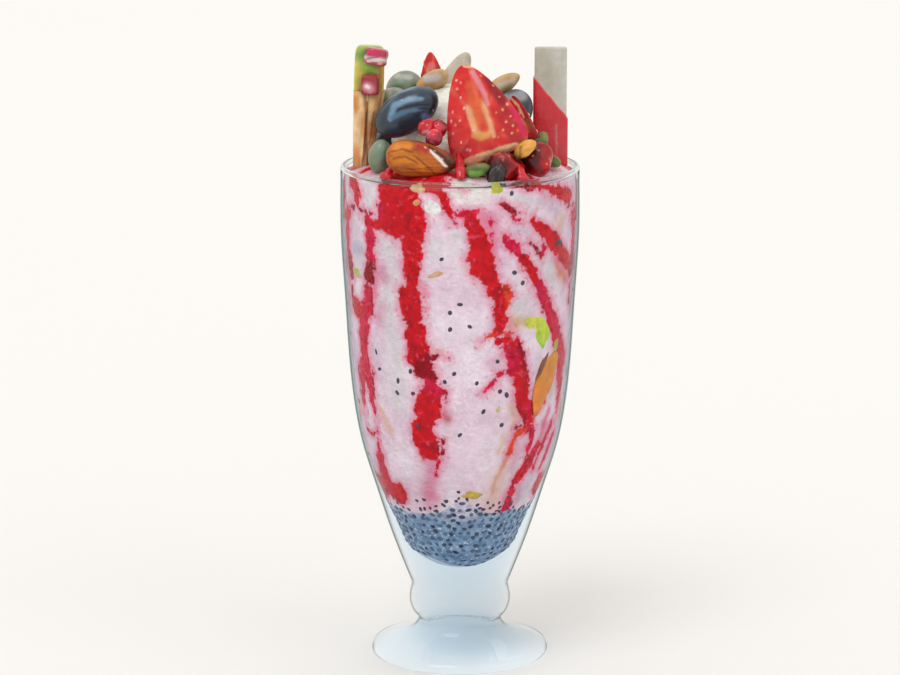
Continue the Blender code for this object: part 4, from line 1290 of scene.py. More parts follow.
def berry_paint(p, t, a):
    """Skin behind; in front the cut face, red round a pale core: a U of two lines joined near the leaf end.

    x and y run along and across a berry scaled to the length of the largest."""
    x, y = (p[:, :2] / np.ptp(p[:, 0]) * LARGEST_BERRY).T
    near = lumps(p, 2.0, 70)
    u_line = np.abs(np.hypot(np.minimum(x + 6.0, 0), y) - 2.7 - 0.3 * near)
    core = np.exp(-((u_line / 1.0) ** 2)) * ease((5.0 - x) / 4.0)
    heart = np.exp(-((y / 4.2) ** 2)) * ease((9.0 - x) / 6.0) * ease((x + 14) / 4)
    face = mix(colour(204, 14, 20), colour(230, 48, 38), 0.5 + 0.6 * near)
    face = mix(face, colour(226, 96, 60), 0.4 * heart)
    face = mix(face, colour(238, 186, 132), 0.85 * core)
    rays = ease((np.sin(11 * np.arctan2(y, x + 4)) - 0.55) / 0.4) * ease((np.hypot(x + 4, y) - 6) / 3)
    face = mix(face, colour(238, 120, 104), 0.35 * rays)
    face = mix(face, colour(240, 190, 150), 0.7 * ease((-13.6 - x + near) / 1.6))
    outer = ease((np.abs(y) - 6.5 - x * 0.1) / 3) * ease(0.5 + 0.9 * lumps(p, 1.5, 74))
    face = mix(face, colour(150, 10, 28), 0.55 * outer)
    skin = mix(colour(176, 8, 14), colour(204, 26, 24), 0.5 + 0.6 * near)
    skin = mix(skin, colour(226, 176, 120), 0.8 * ease((0.07 - t) / 0.05))
    return np.where((np.sin(a) > 0.001)[:, None], skin, face)


print("strawberry paint ready")

# %% [markdown]
# ## Marks on the fronts
#
# Fruit is never one colour: a cut strawberry has a pale core and a red rim, a grape has dark folds,
# an almond its ridges. Many marks, though, are painted highlights and glints: the light bands and
# spots on the black grape, spots on the cherries, raisin, arils, pistachio and almond, the pink and
# white streaks on the strawberries, the white spot on the red cube and the white line on the wafer
# finger. On the right of the big strawberry, darker skin is deepened by painted shade. Each mark
# is a short brush stroke, given by a named
# tone, a strength, and a path of points: millimetres to the right of the axis and up in the view from
# the front, which looks down a little, and the stroke's width there. Flecks are dots of one width.
# Marks lie only on the near side of their piece.

# %% Tones
TONES = {
    "amber": colour(218, 130, 20), "bark": colour(66, 28, 24), "blood": colour(182, 22, 40),
    "blush": colour(244, 160, 160), "cream": colour(244, 206, 158), "crimson": colour(136, 10, 34),
    "gold": colour(234, 164, 84), "grass": colour(120, 176, 76), "ink": colour(18, 20, 34),
    "leaf": colour(84, 132, 66), "lilac": colour(188, 182, 214), "lime": colour(158, 212, 56),
    "magenta": colour(214, 22, 98), "mist": colour(206, 204, 206), "moss": colour(70, 96, 68),
    "olive": colour(156, 142, 62), "orange": colour(228, 124, 56), "peach": colour(240, 172, 134),
    "plum": colour(66, 50, 78), "rose": colour(226, 152, 168), "rust": colour(192, 98, 34),
    "scarlet": colour(218, 26, 36), "sky": colour(118, 154, 182), "slate": colour(82, 118, 152),
    "straw": colour(206, 190, 76), "tan": colour(222, 192, 156), "teal": colour(108, 146, 124),
    "umber": colour(124, 62, 26), "violet": colour(116, 132, 190), "white": colour(246, 238, 232),
    "wine": colour(92, 14, 30),
}  # fmt: skip
print("tones:", len(TONES))

# %% Strokes and flecks
MARKS = {
    "strawberry_half_front": (
        ("scarlet", 0.7, ((-1.5, 197, 4), (-2.5, 190, 4), (-0.5, 182, 4))),
        ("orange", 0.35, ((3.5, 202, 4), (5.5, 196, 5), (6, 190, 4))),
        # crimson and blood: the darker red skin on the right, deepened by painted shade
        ("crimson", 0.9, ((9.6, 204.6, 3), (12.2, 200.6, 4.4), (14.6, 196.4, 3.4))),
        ("blood", 0.75, ((13.6, 193.5, 4.4), (16.6, 188.5, 5), (18.6, 184, 4))),
        ("scarlet", 0.6, ((5, 180, 4), (11, 181.4, 3.4), (16, 183, 3))),
        ("gold", 0.8, ((4.8, 184.8, 2), (7.2, 184.2, 3), (9.6, 184.8, 2))),
        ("peach", 0.9, ((2.3, 194.6, 1.1), (3.2, 191.2, 1.4), (5, 186, 1.4))),
        ("peach", 0.85, ((8.4, 195.2, 0.9), (10, 190.6, 1), (11.8, 184.4, 1.3))),
        # rose: a painted highlight streak down from the tip; magenta: a painted pink sheen on the right edge
        ("rose", 0.7, ((4.3, 206.6, 1.8), (6.4, 203, 2.3), (8.6, 198.8, 1.9), (9.8, 195.4, 1.2))),
        ("magenta", 0.85, ((18, 194, 1.4), (20.4, 190.4, 1.8), (22.4, 185, 1.6))),
        ("cream", 0.85, ((5.8, 177.6, 1.2), (11, 179, 1.4), (15.4, 180.6, 1.6), (19.6, 181.8, 1))),
        ("cream", 0.6, ((1.2, 208.8, 0.9), (5.8, 208.1, 0.8))),
    ),
    "strawberry_slice": (
        ("crimson", 0.7, ((18, 200, 2.2), (21, 196, 2.6), (23.4, 191, 2.6))),
        ("moss", 0.7, ((23.8, 190.4, 1.6), (25.2, 187, 1.6))),
        ("cream", 0.7, ((17, 199.4, 0.8), (20.4, 195.4, 0.9), (22.4, 191.6, 0.8))),
        # magenta: a painted pink sheen on the edge; white: a painted highlight along it
        ("magenta", 0.85, ((18.6, 193.6, 1.4), (21.4, 189.6, 1.8), (23.8, 184.2, 1.6))),
        ("white", 0.6, ((19.6, 193, 0.5), (21.8, 190, 0.7), (23, 187, 0.5))),
    ),
    "black_grape_front": (
        # sky and slate: painted highlight bands along the top
        ("sky", 0.85, ((-24.4, 190.6, 1.8), (-23, 195.2, 2.4), (-18, 197.3, 2.3), (-13.4, 197.5, 1.4))),
        ("slate", 0.85, ((-23.7, 191, 2), (-20.6, 192.4, 2), (-17, 193.4, 1.6), (-13.4, 194, 1))),
        ("ink", 0.9, ((-22.4, 193.2, 0.6), (-18.8, 194.6, 0.8), (-14.4, 195.5, 0.8), (-10.4, 195.5, 0.6))),
        ("ink", 0.9, ((-14.4, 194.1, 0.6), (-10.8, 194.2, 0.9), (-7.9, 192.2, 0.9))),
        ("plum", 0.8, ((-10.4, 197.4, 1.5), (-8.3, 196.4, 1))),
        # violet: a painted highlight spot near the end
        ("violet", 0.9, ((-12.2, 191.1, 2.6), (-11.1, 190.8, 2.8))),
    ),
    "almond_front": (
        ("amber", 0.85, ((-22, 180, 4), (-18, 180.5, 3.6))),
        ("amber", 0.65, ((-22.4, 176.2, 4), (-16, 176.2, 3.6), (-12.6, 173.8, 3))),
        ("rust", 0.7, ((-22.4, 170.8, 2.4), (-16.2, 169.9, 2.4), (-10, 170.4, 2.2))),
        ("umber", 0.8, ((-23.6, 178.4, 0.6), (-20, 179.4, 0.8), (-16, 178.2, 0.6))),
        ("umber", 0.8, ((-23.2, 176, 0.6), (-19, 176.8, 0.8), (-14.4, 174.4, 0.7))),
        ("umber", 0.7, ((-23.6, 173, 0.6), (-18.6, 173.2, 0.8), (-13.6, 171, 0.7))),
        ("umber", 0.8, ((-16, 177.4, 0.6), (-12.6, 174.6, 0.9), (-9, 171.2, 0.8))),
        ("bark", 0.95, ((-10.8, 180.2, 1), (-6.4, 177.2, 1.8), (-3, 173.8, 2),
                        (-1.8, 170.8, 1.6), (-4, 169, 1.2))),
        # white: a painted highlight streak along the dark end
        ("white", 0.9, ((-10.3, 179, 0.8), (-7.3, 176, 1.2), (-4.8, 173.4, 0.8))),
        ("blood", 0.9, ((-14.4, 180.4, 1.8), (-11.6, 178.8, 2.2))),
    ),
    "pomegranate_front": (
        # rose: a painted highlight
        ("rose", 0.8, ((-12.6, 185.2, 1.6), (-11, 185.4, 1.4))),
        ("wine", 0.7, ((-7.3, 185.2, 1.1), (-6.6, 181.6, 1.1))),
        ("magenta", 0.6, ((-13, 182, 3), (-8, 182.4, 3))),
        # blush: a painted highlight
        ("blush", 0.8, ((-10, 182, 1), (-8.6, 181, 0.8))),
    ),
    "cone_jelly_green": (
        ("grass", 0.8, ((-35.4, 213.8, 2.4), (-32.4, 214.4, 1.8))),
        ("lime", 0.9, ((-33.6, 209.2, 2.2), (-30.6, 208.8, 2))),
        ("straw", 0.85, ((-36.6, 209.6, 1.8), (-36.6, 201, 1.9))),
        ("orange", 0.8, ((-36.7, 199.6, 1.9), (-36.4, 196.4, 2))),
        ("rust", 0.6, ((-28, 209.8, 0.8), (-27.8, 205.6, 0.7))),
    ),
    "cone_jelly_pink": (
        ("magenta", 0.9, ((-31.4, 213.9, 2), (-29.2, 214.1, 2))),
        ("mist", 0.9, ((-32.6, 211.2, 0.8), (-28.4, 211.3, 0.8))),
        ("peach", 0.85, ((-28.4, 210.6, 1.2), (-27.8, 210.4, 1.2))),
        ("plum", 0.7, ((-32.4, 212.3, 0.5), (-28.6, 212.4, 0.5))),
    ),
    "cone_jelly_red": (
        ("crimson", 0.85, ((-34.6, 205.4, 1.1), (-34.6, 197.6, 1.1))),
        ("crimson", 0.85, ((-28.8, 205.4, 1.1), (-28.8, 197.6, 1.1))),
        # rose and white: a painted highlight in the middle of the cube
        ("rose", 0.8, ((-32.6, 202.2, 3.4), (-31.6, 201.6, 3.4))),
        ("white", 0.9, ((-32.8, 202.4, 1.4), (-32.2, 202.2, 1.4))),
    ),
    "wafer_cone": (
        ("amber", 0.6, ((-36.6, 198.8, 2), (-36.4, 194, 1.9))),
        ("tan", 0.7, ((-35.4, 193.8, 1.5), (-35.6, 187.6, 1.7), (-35.9, 183.2, 1.3))),
        ("orange", 0.6, ((-36.4, 181, 2), (-36.2, 175.2, 2))),
        ("umber", 0.8, ((-32.6, 197, 0.8), (-33.2, 187.6, 0.9), (-33.8, 178.8, 0.9), (-34, 172.6, 0.7))),
        ("umber", 0.6, ((-30.4, 193.8, 0.6), (-31.2, 187.6, 0.6), (-32, 182.4, 0.5))),
    ),
    "strawberry_half_back": (
        ("blush", 0.5, ((-10.4, 212, 3), (-10.4, 205.4, 5))),
        ("crimson", 0.5, ((-8, 210, 1.6), (-7.4, 205, 2.4))),
    ),
    "cashew_top": (
        ("gold", 0.8, ((-14.8, 205.4, 2.6), (-14.4, 204, 2.6))),
        ("mist", 0.8, ((-12, 206, 3), (-8, 206.4, 3))),
    ),
    "green_grape_back": (
        ("teal", 0.6, ((-23.4, 204.2, 2.4), (-19, 205.4, 2.4))),
        ("mist", 0.5, ((-22.4, 207.6, 2.4), (-18, 207.2, 2))),
        ("olive", 0.6, ((-18.8, 200.2, 1), (-14, 201, 1))),
    ),
    "cashew_back": (
        ("olive", 0.5, ((12, 200.6, 3), (17, 203.4, 2.4))),
        ("mist", 0.5, ((14, 203.4, 2), (19, 205.6, 2))),
    ),
    "black_grape_back": (
        ("mist", 0.45, ((16, 198.4, 3), (22, 199.6, 4))),
        ("olive", 0.4, ((14, 195.6, 2), (18, 197, 2))),
        ("moss", 0.6, ((20, 192.6, 4), (24, 190.6, 4))),
    ),
    "green_grape_left": (
        ("mist", 0.4, ((-25.4, 205.4, 2), (-25, 200, 2))),
        ("moss", 0.5, ((-26.4, 203, 0.9), (-26.4, 195.6, 0.9))),
    ),
    "green_grape_low": (
        ("teal", 0.75, ((-29, 182.4, 2.6), (-27.8, 178, 2.8))),
        ("moss", 0.7, ((-26, 180.6, 1), (-26.4, 174.4, 1.2))),
        ("leaf", 0.5, ((-31.2, 177, 1.4), (-30.4, 173.4, 1.4))),
    ),
    "cherry_left": (
        ("wine", 0.6, ((12.6, 175.4, 2.6), (18, 173.8, 3.2))),
        # lilac: a painted highlight
        ("lilac", 0.9, ((20, 179.4, 1.5), (21.4, 177.4, 1.6))),
        ("scarlet", 0.6, ((16.4, 170.4, 2.2), (20.4, 169.6, 1.8))),
        # orange: a painted highlight along the top edge
        ("orange", 0.6, ((11.6, 177.8, 1), (14, 178.2, 0.9))),
    ),
    "cherry_right": (
        ("wine", 0.7, ((26.8, 174.8, 3), (28.4, 171.6, 2.8))),
        ("scarlet", 0.6, ((26, 170.4, 2), (29.6, 170, 1.8))),
    ),
    "yellow_jelly": (
        ("gold", 0.8, ((23.6, 181.8, 2.2), (22.8, 179, 2))),
        ("straw", 0.8, ((25.4, 178.8, 2), (25.8, 176, 1.9))),
        ("orange", 0.85, ((24, 174, 2), (22.8, 175.6, 1.6))),
        ("umber", 0.6, ((21, 180.4, 1), (20.8, 175.6, 1))),
    ),
    "pistachio_front": (
        # grass: a painted highlight
        ("grass", 0.8, ((4.4, 170.8, 2.8), (7, 170.4, 2.8))),
        ("moss", 0.7, ((3, 172.4, 1.2), (8.6, 172.4, 1.2))),
    ),
    "raisin_front": (
        # lilac: a painted highlight
        ("lilac", 0.8, ((10.1, 174.4, 1), (10.9, 173.8, 0.8))),
        ("ink", 0.6, ((11.4, 171.6, 2), (12.6, 174.8, 1.4))),
    ),
    "pistachio_right": (
        ("mist", 0.5, ((27.9, 182.2, 1.6), (28.3, 180.2, 1.2))),
        ("leaf", 0.5, ((26.8, 179.8, 1.2), (29, 179.4, 1.2))),
    ),
    "pistachio_edge": (("moss", 0.8, ((29.6, 173.2, 2.4), (30, 173, 2.4))),),
    # white: a painted highlight line down the wafer
    "wafer_finger": (("white", 0.2, ((34.2, 190, 0.7), (34.6, 170, 0.7))),),
}
FLECKS = {
    "strawberry_half_front": (
        ("blush", 0.9, ((-2.6, 192.9), (-1.7, 188.3), (-2.4, 185.4), (0.2, 203),
                        (-1, 200.8), (2.4, 179.8), (3.4, 179.4))),
        ("cream", 0.8, ((16.4, 195.6), (14.7, 193.7), (17.5, 191.3), (16, 189.3),
                        (18.5, 188.1), (15, 186.6), (18, 185.4))),
        # white: painted glints
        ("white", 0.65, ((-1.3, 203.9), (0.2, 197.7), (-3, 189.6), (0, 189.9),
                         (0.3, 182.2), (4.4, 186.6), (1.4, 194.2))),
        ("gold", 0.7, ((10.9, 187.2), (13.4, 184.2), (12.6, 192.6), (13.6, 198.2),
                       (20, 186.4), (11.6, 202), (7.2, 205.4))),
    ),
    "strawberry_slice": (("cream", 0.6, ((19.4, 196.4), (21, 193), (22.6, 189.2), (23.6, 186.4))),),
    # cream: painted glints on the almond
    "almond_front": (("cream", 0.6, ((-8.6, 178.9), (-6.2, 176), (-12, 179.9))),),
    # blush: painted glints on the cherries
    "cherry_left": (("blush", 0.8, ((17.2, 177.4), (14.8, 175.6), (20.6, 173.6))),),
    "cherry_right": (("blush", 0.7, ((25.2, 177.6), (27.4, 179.4), (30.2, 174.8))),),
    # lilac: painted glints on the black grape
    "black_grape_front": (("lilac", 0.7, ((-9.4, 193.6), (-20.2, 196.9))),),
}
print("strokes:", sum(len(rows) for rows in MARKS.values()))

# %% Marks and shade on a piece
FRONT_LOOKS_DOWN = 12.0


def front_view(points):
    """Right, up and away as the front view sees them."""
    tilt = math.radians(FRONT_LOOKS_DOWN)
    up = points[:, 1] * math.sin(tilt) + points[:, 2] * math.cos(tilt)
    return points[:, 0], up, points[:, 1] * math.cos(tilt) - points[:, 2] * math.sin(tilt)


def with_marks(name, points, paint):
    """Strokes blended in by e^-(distance / half width)^4, then flecks, on the half that is nearer."""
    right, up, away = front_view(points)
    flat = np.stack([right, up], axis=-1)
    flat = flat + 0.2 * np.stack([lumps(points, 1.3, 171), lumps(points, 1.3, 172)], axis=-1)
    near = ease((away.min() + away.max() - 2 * away) / 3 + 0.5)
    for tone, strength, path in MARKS.get(name, ()):
        table = np.array(path, float)
        distance, half = distance_to(flat, table[:, :2], table[:, 2] / 2)
        paint = mix(paint, TONES[tone], near * strength * np.exp(-((distance / half) ** 4)))
    for tone, width, spots in FLECKS.get(name, ()):
        nearest = np.linalg.norm(flat[:, None] - np.array(spots)[None], axis=-1).min(axis=1)
        paint = mix(paint, TONES[tone], near * 0.85 * np.exp(-((2 * nearest / width) ** 4)))
    return paint


SHADE_REACH, SHADE_OF_MILK = 1.8, 1.2


def in_the_shade(name, points, paint, most=0.65):
    """Darker near the other toppings and the milk ice: by e^-(distance / reach)^2.

    Each topping counts as an ellipsoid of its size, at its place and tilt."""
    open_share = np.ones(len(points))
    for other, _, size, place, tilt, _, lean in TOPPINGS:
        if other != name:
            local = (points - place) @ turned_by(tilt, lean) / (np.array(size) / 2)
            gap = np.clip(np.linalg.norm(local, axis=1) - 1, 0, None) * np.mean(size) / 2
            open_share = open_share * (1 - 0.85 * np.exp(-((gap / SHADE_REACH) ** 2)))
    above_milk = np.clip(points[:, 2] - fill_surface(points * (1, 1, 0)), 0, None)
    open_share = open_share * (1 - 0.5 * np.exp(-((above_milk / SHADE_OF_MILK) ** 2)))
    return paint * (1 - most * (1 - open_share))[:, None]


def dressed(name, stands_for, body, finish, paint, most=0.65, sharp=None):
    """The piece that stands for a node, its paint with the node's marks and the shade on it."""
    shaded = in_the_shade(stands_for, body[0], with_marks(stands_for, body[0], paint), most)
    return piece(name, body, finish, {"paint": shaded}, replaces=stands_for, sharp=sharp)


print("pieces with marks:", len({*MARKS, *FLECKS}))

# %% [markdown]
# ## The table of toppings
#
# Each row has the name of the CAD node it stands for, its kind, size, place and tilt, the same values
# as the solid was made from. Only the topmost pink piece sits 0.3 mm lower, to keep its lumps inside
# the size of the solids. A kind names its side curve, section, detail, paint and finish, and how fine
# its grid is.

# %% Kinds
almond_skin = food("almond_skin", 0.38, 0.14, 0.7, 0.05, coat=0.08)
pale_nut = food("pale_nut", 0.5, 0.07, 1.2, 0.05)
green_nut = food("pistachio_kernel", 0.5, 0.16, 0.9, 0.08)
raisin_skin = food("raisin_skin", 0.3, 0.2, 1.0, 0.12, coat=0.3)
grape_skin = food("grape_skin", 0.34, 0.08, 1.5, 0.015, coat=0.22)
green_skin = food("green_grape_skin", 0.35, 0.1, 1.5, 0.02, coat=0.25)
cherry_flesh = food("candied_cherry", 0.25, 0.2, 2.0, 0.12, coat=0.2)
aril_flesh = food("pomegranate_aril", 0.15, 0.08, 2.0, 0.02, coat=0.6, through=0.2)
berry_flesh = food("strawberry_flesh", 0.34, 0.1, 0.9, 0.07, coat=0.25, through=0.06)
KINDS = {
    "almond": (egg, round_section, almond_ridges, almond_paint, almond_skin, 56, 120),
    "nut": (oval, round_section, smooth_skin, cashew_paint, pale_nut, 32, 40),
    "blanched": (egg, round_section, smooth_skin, ghost_nut_paint, pale_nut, 32, 40),
    "pistachio": (egg, round_section, kernel_lines, pistachio_paint, green_nut, 32, 56),
    "raisin": (oval, wrinkled_section, wrinkles, raisin_paint, raisin_skin, 40, 64),
    "grape": (oval, round_section, creases, grape_paint, grape_skin, 56, 96),
    "green grape": (oval, round_section, smooth_skin, green_paint, green_skin, 36, 48),
    "cherry": (drop, round_section, lumpy_skin, cherry_paint, cherry_flesh, 56, 72),
    "yellow": (oval, faceted_section, lumpy_skin, yellow_paint, jelly_finish, 40, 64),
    "pink": (block, square_section, lumpy_skin, pink_paint, jelly_finish, 40, 64),
    "red cube": (block, square_section, smooth_skin, red_cube_paint, jelly_finish, 28, 48),
    "green": (block, square_section, smooth_skin, green_to_yellow_paint, jelly_finish, 40, 48),
    "berry": (berry, halved_section, seed_pits("berry"), berry_paint, berry_flesh, 110, 160),
    "small berry": (berry, halved_section, seed_pits("small berry"), berry_paint, berry_flesh, 80, 120),
}
print("kinds:", len(KINDS))

# %% Places of the toppings
TOPPINGS = (
    # node, kind, size, place, tilt, bend, lean
    ("strawberry_half_front", "berry", (34, 28, 24), (6.2, -20.5, 201.7), (-90, -109, 0), 0, 8),
    ("strawberry_slice", "small berry", (22, 12, 8), (21.0, -13.5, 195.5), (-90, -104, -20), 0, 8),
    ("strawberry_half_back", "small berry", (16, 9.5, 9), (-10.2, 20.0, 209.4), (-90, -94, 0), 0, 8),
    ("strawberry_half_rear", "berry", (24, 19, 16), (20.5, 20.5, 191.5), (-90, -98, 135), 0, 0),
    ("almond_front", "almond", (24.5, 14.5, 9), (-13.5, -30.5, 186.4), (78, 9, 4), 0, 0),
    ("blanched_almond", "blanched", (18, 10, 7), (-1.5, 16.0, 209.8), (80, -60, 10), 0, 0),
    ("almond_rear", "almond", (22, 13, 8), (14.0, 26.5, 181.0), (60, -12, 200), 0, 0),
    ("cashew_back", "nut", (17, 7.5, 7), (13.5, 4.5, 206.0), (0, -40, 25), -3.5, 0),
    ("cashew_top", "nut", (13, 7, 7), (-9.0, 6.0, 209.2), (0, -25, -20), -2.5, 0),
    ("cashew_rear", "nut", (17, 7.5, 7), (5.0, 25.0, 202.0), (0, 20, 160), 3.0, 0),
    ("pistachio_front", "pistachio", (9, 6.4, 6), (6.4, -33.2, 183.2), (0, -8, 6), 0, 0),
    ("pistachio_right", "pistachio", (8.5, 6.5, 6.5), (28.0, -14.5, 190.0), (0, -50, 40), 0, 0),
    ("pistachio_edge", "pistachio", (7, 5, 5), (33.0, -14.0, 183.0), (0, 20, 50), 0, 0),
    ("pistachio_rear", "pistachio", (9, 6.5, 6), (-15.5, 25.5, 194.0), (0, 30, 130), 0, 0),
    ("raisin_front", "raisin", (11, 6.6, 6.6), (12.6, -34.0, 180.2), (0, -75, 10), 0, 0),
    ("raisin_rear", "raisin", (12, 8, 8), (-18.5, 28.0, 180.5), (0, 15, 140), 0, 0),
    ("black_grape_front", "grape", (25, 15, 15), (-18.7, -13.0, 200.5), (0, -33, -8), 0, 0),
    ("black_grape_back", "grape", (15, 13, 13), (19.2, -1.0, 199.5), (0, -70, 0), 0, 0),
    ("black_grape_rear", "grape", (19, 15, 15), (-27.0, 13.0, 184.5), (0, -20, 60), 0, 0),
    ("green_grape_left", "green grape", (15, 13, 13), (-24.0, 5.0, 199.5), (0, -60, 0), 0, 0),
    ("green_grape_back", "green grape", (14, 12.4, 12.4), (-20.0, 14.5, 205.0), (0, -30, 30), 0, 0),
    ("green_grape_low", "green grape", (12, 8, 8), (-28.0, -19.5, 185.8), (0, -80, 0), 0, 0),
    ("cherry_left", "cherry", (15, 13, 11), (15.5, -27.0, 183.0), (0, 0, 10), 0, 0),
    ("cherry_right", "cherry", (13, 12, 12), (26.8, -20.0, 184.5), (0, 10, 60), 0, 0),
    ("cherry_rear", "cherry", (15, 14, 13), (-6.5, 29.5, 182.0), (0, 0, 120), 0, 0),
    ("yellow_jelly", "yellow", (9, 6, 4.5), (22.6, -27.6, 189.6), (20, -35, 10), 0, 0),
    ("pink_jelly_rear", "pink", (9, 7, 7), (30.5, 17.0, 181.5), (10, 20, 70), 0, 0),
    ("cone_jelly_green", "green", (19, 7, 10.6), (-32.0, -2.6, 213.2), (0, -88, 0), 0, 0),
    ("cone_jelly_red", "red cube", (7, 5, 6.6), (-31.6, -8.2, 209.4), (0, -88, 0), 0, 0),
    ("cone_jelly_pink", "pink", (6, 5, 7.5), (-29.4, -7.6, 219.3), (0, -80, 0), 0, 0),
)
print("toppings:", len(TOPPINGS))

# %% Build the toppings
CUT_EDGE = 55.0


def topping(name, kind, size, place, tilt, bend, lean):
    """One topping: its grid, its two poles, its paint, and its place."""
    side, section, detail, paint, finish, rows, columns = KINDS[kind]
    t, a = topping_grid(rows, columns)
    rings = topping_points(t, a, size, side, section, bend, detail)
    ends = np.array([[-size[0] / 2, bend, 0], [size[0] / 2, bend, 0]], float)
    points, quads, triangles = closed_body(rings, ends)
    t_all, a_all = np.append(t.ravel(), (0, 1)), np.append(a.ravel(), (0.5, 0.5))
    body = placed(points, place, tilt, lean), quads, triangles
    cut = CUT_EDGE if kind in SEED_LATTICES else None
    return dressed(name + "_looks", name, body, finish, paint(points, t_all, a_all), sharp=cut)


for row in TOPPINGS:
    topping(*row)
print("built", len(TOPPINGS), "toppings")

# %% [markdown]
# ## Seeds of the strawberries
#
# The pits are cells of a lattice, so the seeds go in the same cells. Each is a yellow oval whose
# long axis follows the berry, with a frame from the two directions in which the surface runs.

# %% Strawberry seeds
SKIN_STEP = 0.01


def berry_seeds(kind, size, place, tilt, lean):
    """Seed places and frames on one berry's skin, from the steps of its surface along t and a."""
    all_rows, all_columns = SEED_LATTICES[kind]
    rows, columns = np.meshgrid(np.arange(1, all_rows - 1), np.arange(all_columns), indexing="ij")
    t = ((rows + 0.5) / all_rows).ravel()
    a = ((columns + 0.5 - 0.5 * (rows % 2)) * 2 * math.pi / all_columns).ravel() % (2 * math.pi)
    keep = (np.sin(a) > 0.12) & (t > 0.1)
    t, a = t[keep], a[keep]

    def skin(t, a):
        """Points of the berry's surface in their place."""
        flesh = topping_points(t, a, size, berry, halved_section, 0, seed_pits(kind))
        return placed(flesh, place, tilt, lean)

    here = skin(t, a)
    along, beside = unit(skin(t + SKIN_STEP, a) - here), skin(t, a + SKIN_STEP) - here
    out = unit(np.cross(beside, along))
    out *= np.sign(np.einsum("ij,ij->i", out, here - place))[:, None]
    frames = np.stack([along, np.cross(out, along), out], axis=-1)
    return here + 0.1 * out, frames * (0.85, 0.5, 0.4)


berries = [row for row in TOPPINGS if row[1] in SEED_LATTICES]
seed_parts = [berry_seeds(kind, size, place, tilt, lean) for _, kind, size, place, tilt, _, lean in berries]
seed_spots = np.concatenate([spots for spots, _ in seed_parts])
achene_body = copies(small_oval(5, 8), seed_spots, np.concatenate([frames for _, frames in seed_parts]))
achene_values = {"paint": np.broadcast_to(colour(232, 190, 120), achene_body[0].shape)}
achene_finish = food("strawberry_seed", 0.35, 0.15, 0.6, 0.02, coat=0.3)
piece("strawberry_seeds", achene_body, achene_finish, achene_values)
print("strawberry seeds:", len(seed_spots))

# %% [markdown]
# ## Pomegranate arils
#
# An aril is a clear red drop round a seed, with flat sides where it lay against others. Two clusters
# of three lie on the heap, each one piece.

# %% Arils
ARIL_SIZE = (7.2, 5.8, 5.6)
CLUSTERS = {
    "pomegranate_front": ((-8.6, -25.8, 195.8), ((-3, 0, 1.4), (1.4, 1.5, 0.8), (-0.6, -1.6, -2.4))),
    "pomegranate_rear": ((-2.0, 31.2, 195.6), ((-2.5, 0, 1), (2, 0.6, 0), (0, -1, -3))),
}


def cluster(name):
    """The arils of one cluster, joined and painted."""
    centre, offsets = CLUSTERS[name]
    t, a = topping_grid(30, 40)
    rings = topping_points(t, a, ARIL_SIZE, drop, faceted_section, 0, smooth_skin)
    points, quads, triangles = closed_body(rings, np.array([[-3.6, 0, 0], [3.6, 0, 0]]))
    bodies = []
    for i, offset in enumerate(offsets):
        tilt = (40 * i, -50 + 47 * i, 80 * i)
        bodies.append((placed(points, np.add(centre, offset), tilt), quads, triangles))
    body = joined(bodies)
    return dressed(name + "_looks", name, body, aril_flesh, aril_paint(body[0], 0, 0))


for name in CLUSTERS:
    cluster(name)
print("clusters:", list(CLUSTERS))

# %% [markdown]
# ## Vanilla ice
#
# A scoop of ice is a ball that the spoon has torn: rough all over, with small craters. It starts as
# a sphere in latitude and longitude, and noise at three sizes moves its points in and out. Threads of
# syrup run over its top and back; they are colour alone.

# %% Scoop
SCOOP_PLACE, SCOOP_RADIUS = (-1.0, 8.0, 184.0), 24.0


def scoop_body():
    """Radius 0.985 + 0.018 of large lumps + 0.012 of middling + 0.007 of small ones."""
    points, quads, triangles = small_oval(150, 220)
    where = points * SCOOP_RADIUS
    rough = 0.985 + 0.018 * lumps(where, 7.0, 81)
    rough = rough + 0.012 * lumps(where, 2.6, 82) + 0.007 * lumps(where, 1.1, 83)
    return where * rough[:, None] + SCOOP_PLACE, quads, triangles


def drizzle(p):
    """Syrup on the back of the ice: depth of threads that wind over its top and fork as they run down."""
    x, y, z = (p - SCOOP_PLACE).T
    turn = np.arctan2(x, y)
    wind = 1.5 * turn + 0.5 * np.sin(z / 4.2) + 0.9 * lumps(p, 7.0, 92)
    thread = 0.34 + 0.22 * lumps(p, 6.0, 93) - np.abs(np.sin(2.0 * wind)) * (0.7 + np.clip(z, 0, 24) / 60)
    return thread - 1.2 * ease((4 - y) / 7) - 0.8 * ease((2 - z) / 6) * ease(0.5 + lumps(p, 5.0, 94))


def vanilla_paint(p):
    """Cream in two tones blended by noise, with a little pink syrup low down and threads of it over the back.
    """
    base = two_tones(p, (236, 234, 222), (250, 250, 242), 3.0, 84)
    stain = ease((188 - p[:, 2] + 4 * lumps(p, 5.0, 85)) / 5)
    base = mix(base, colour(214, 90, 104), 0.75 * stain)
    depth = drizzle(p)
    base = mix(base, colour(236, 150, 160), ease((depth + 0.16) / 0.16))
    syrup = mix(colour(196, 18, 34), colour(150, 10, 26), 0.5 + lumps(p, 2.0, 95))
    return mix(base, syrup, ease(depth / 0.07))


scoop = scoop_body()
vanilla = food("vanilla_ice", 0.5, 0.05, 0.8, 0.12, coat=0.1, through=0.15)
ice = dressed("vanilla_scoop", "ice_cream_scoop", scoop, vanilla, vanilla_paint(scoop[0]), most=0.12)
print("scoop faces:", len(ice.data.polygons))

# %% [markdown]
# ## Rolled wafer cone
#
# The cone is a thin wafer rolled while hot: its lap shows as a step all the way down, and the
# baking leaves darker seams along it and a fine blistered grain. Its section is a circle
# whose radius grows a little round the turn, so that the end of the roll stands proud of its start.

# %% Cone
CONE_TIP, CONE_TOP = np.array([-36.2, -5.0, 165.0]), np.array([-31.8, -4.0, 207.0])
WAFER_COLUMNS = 96


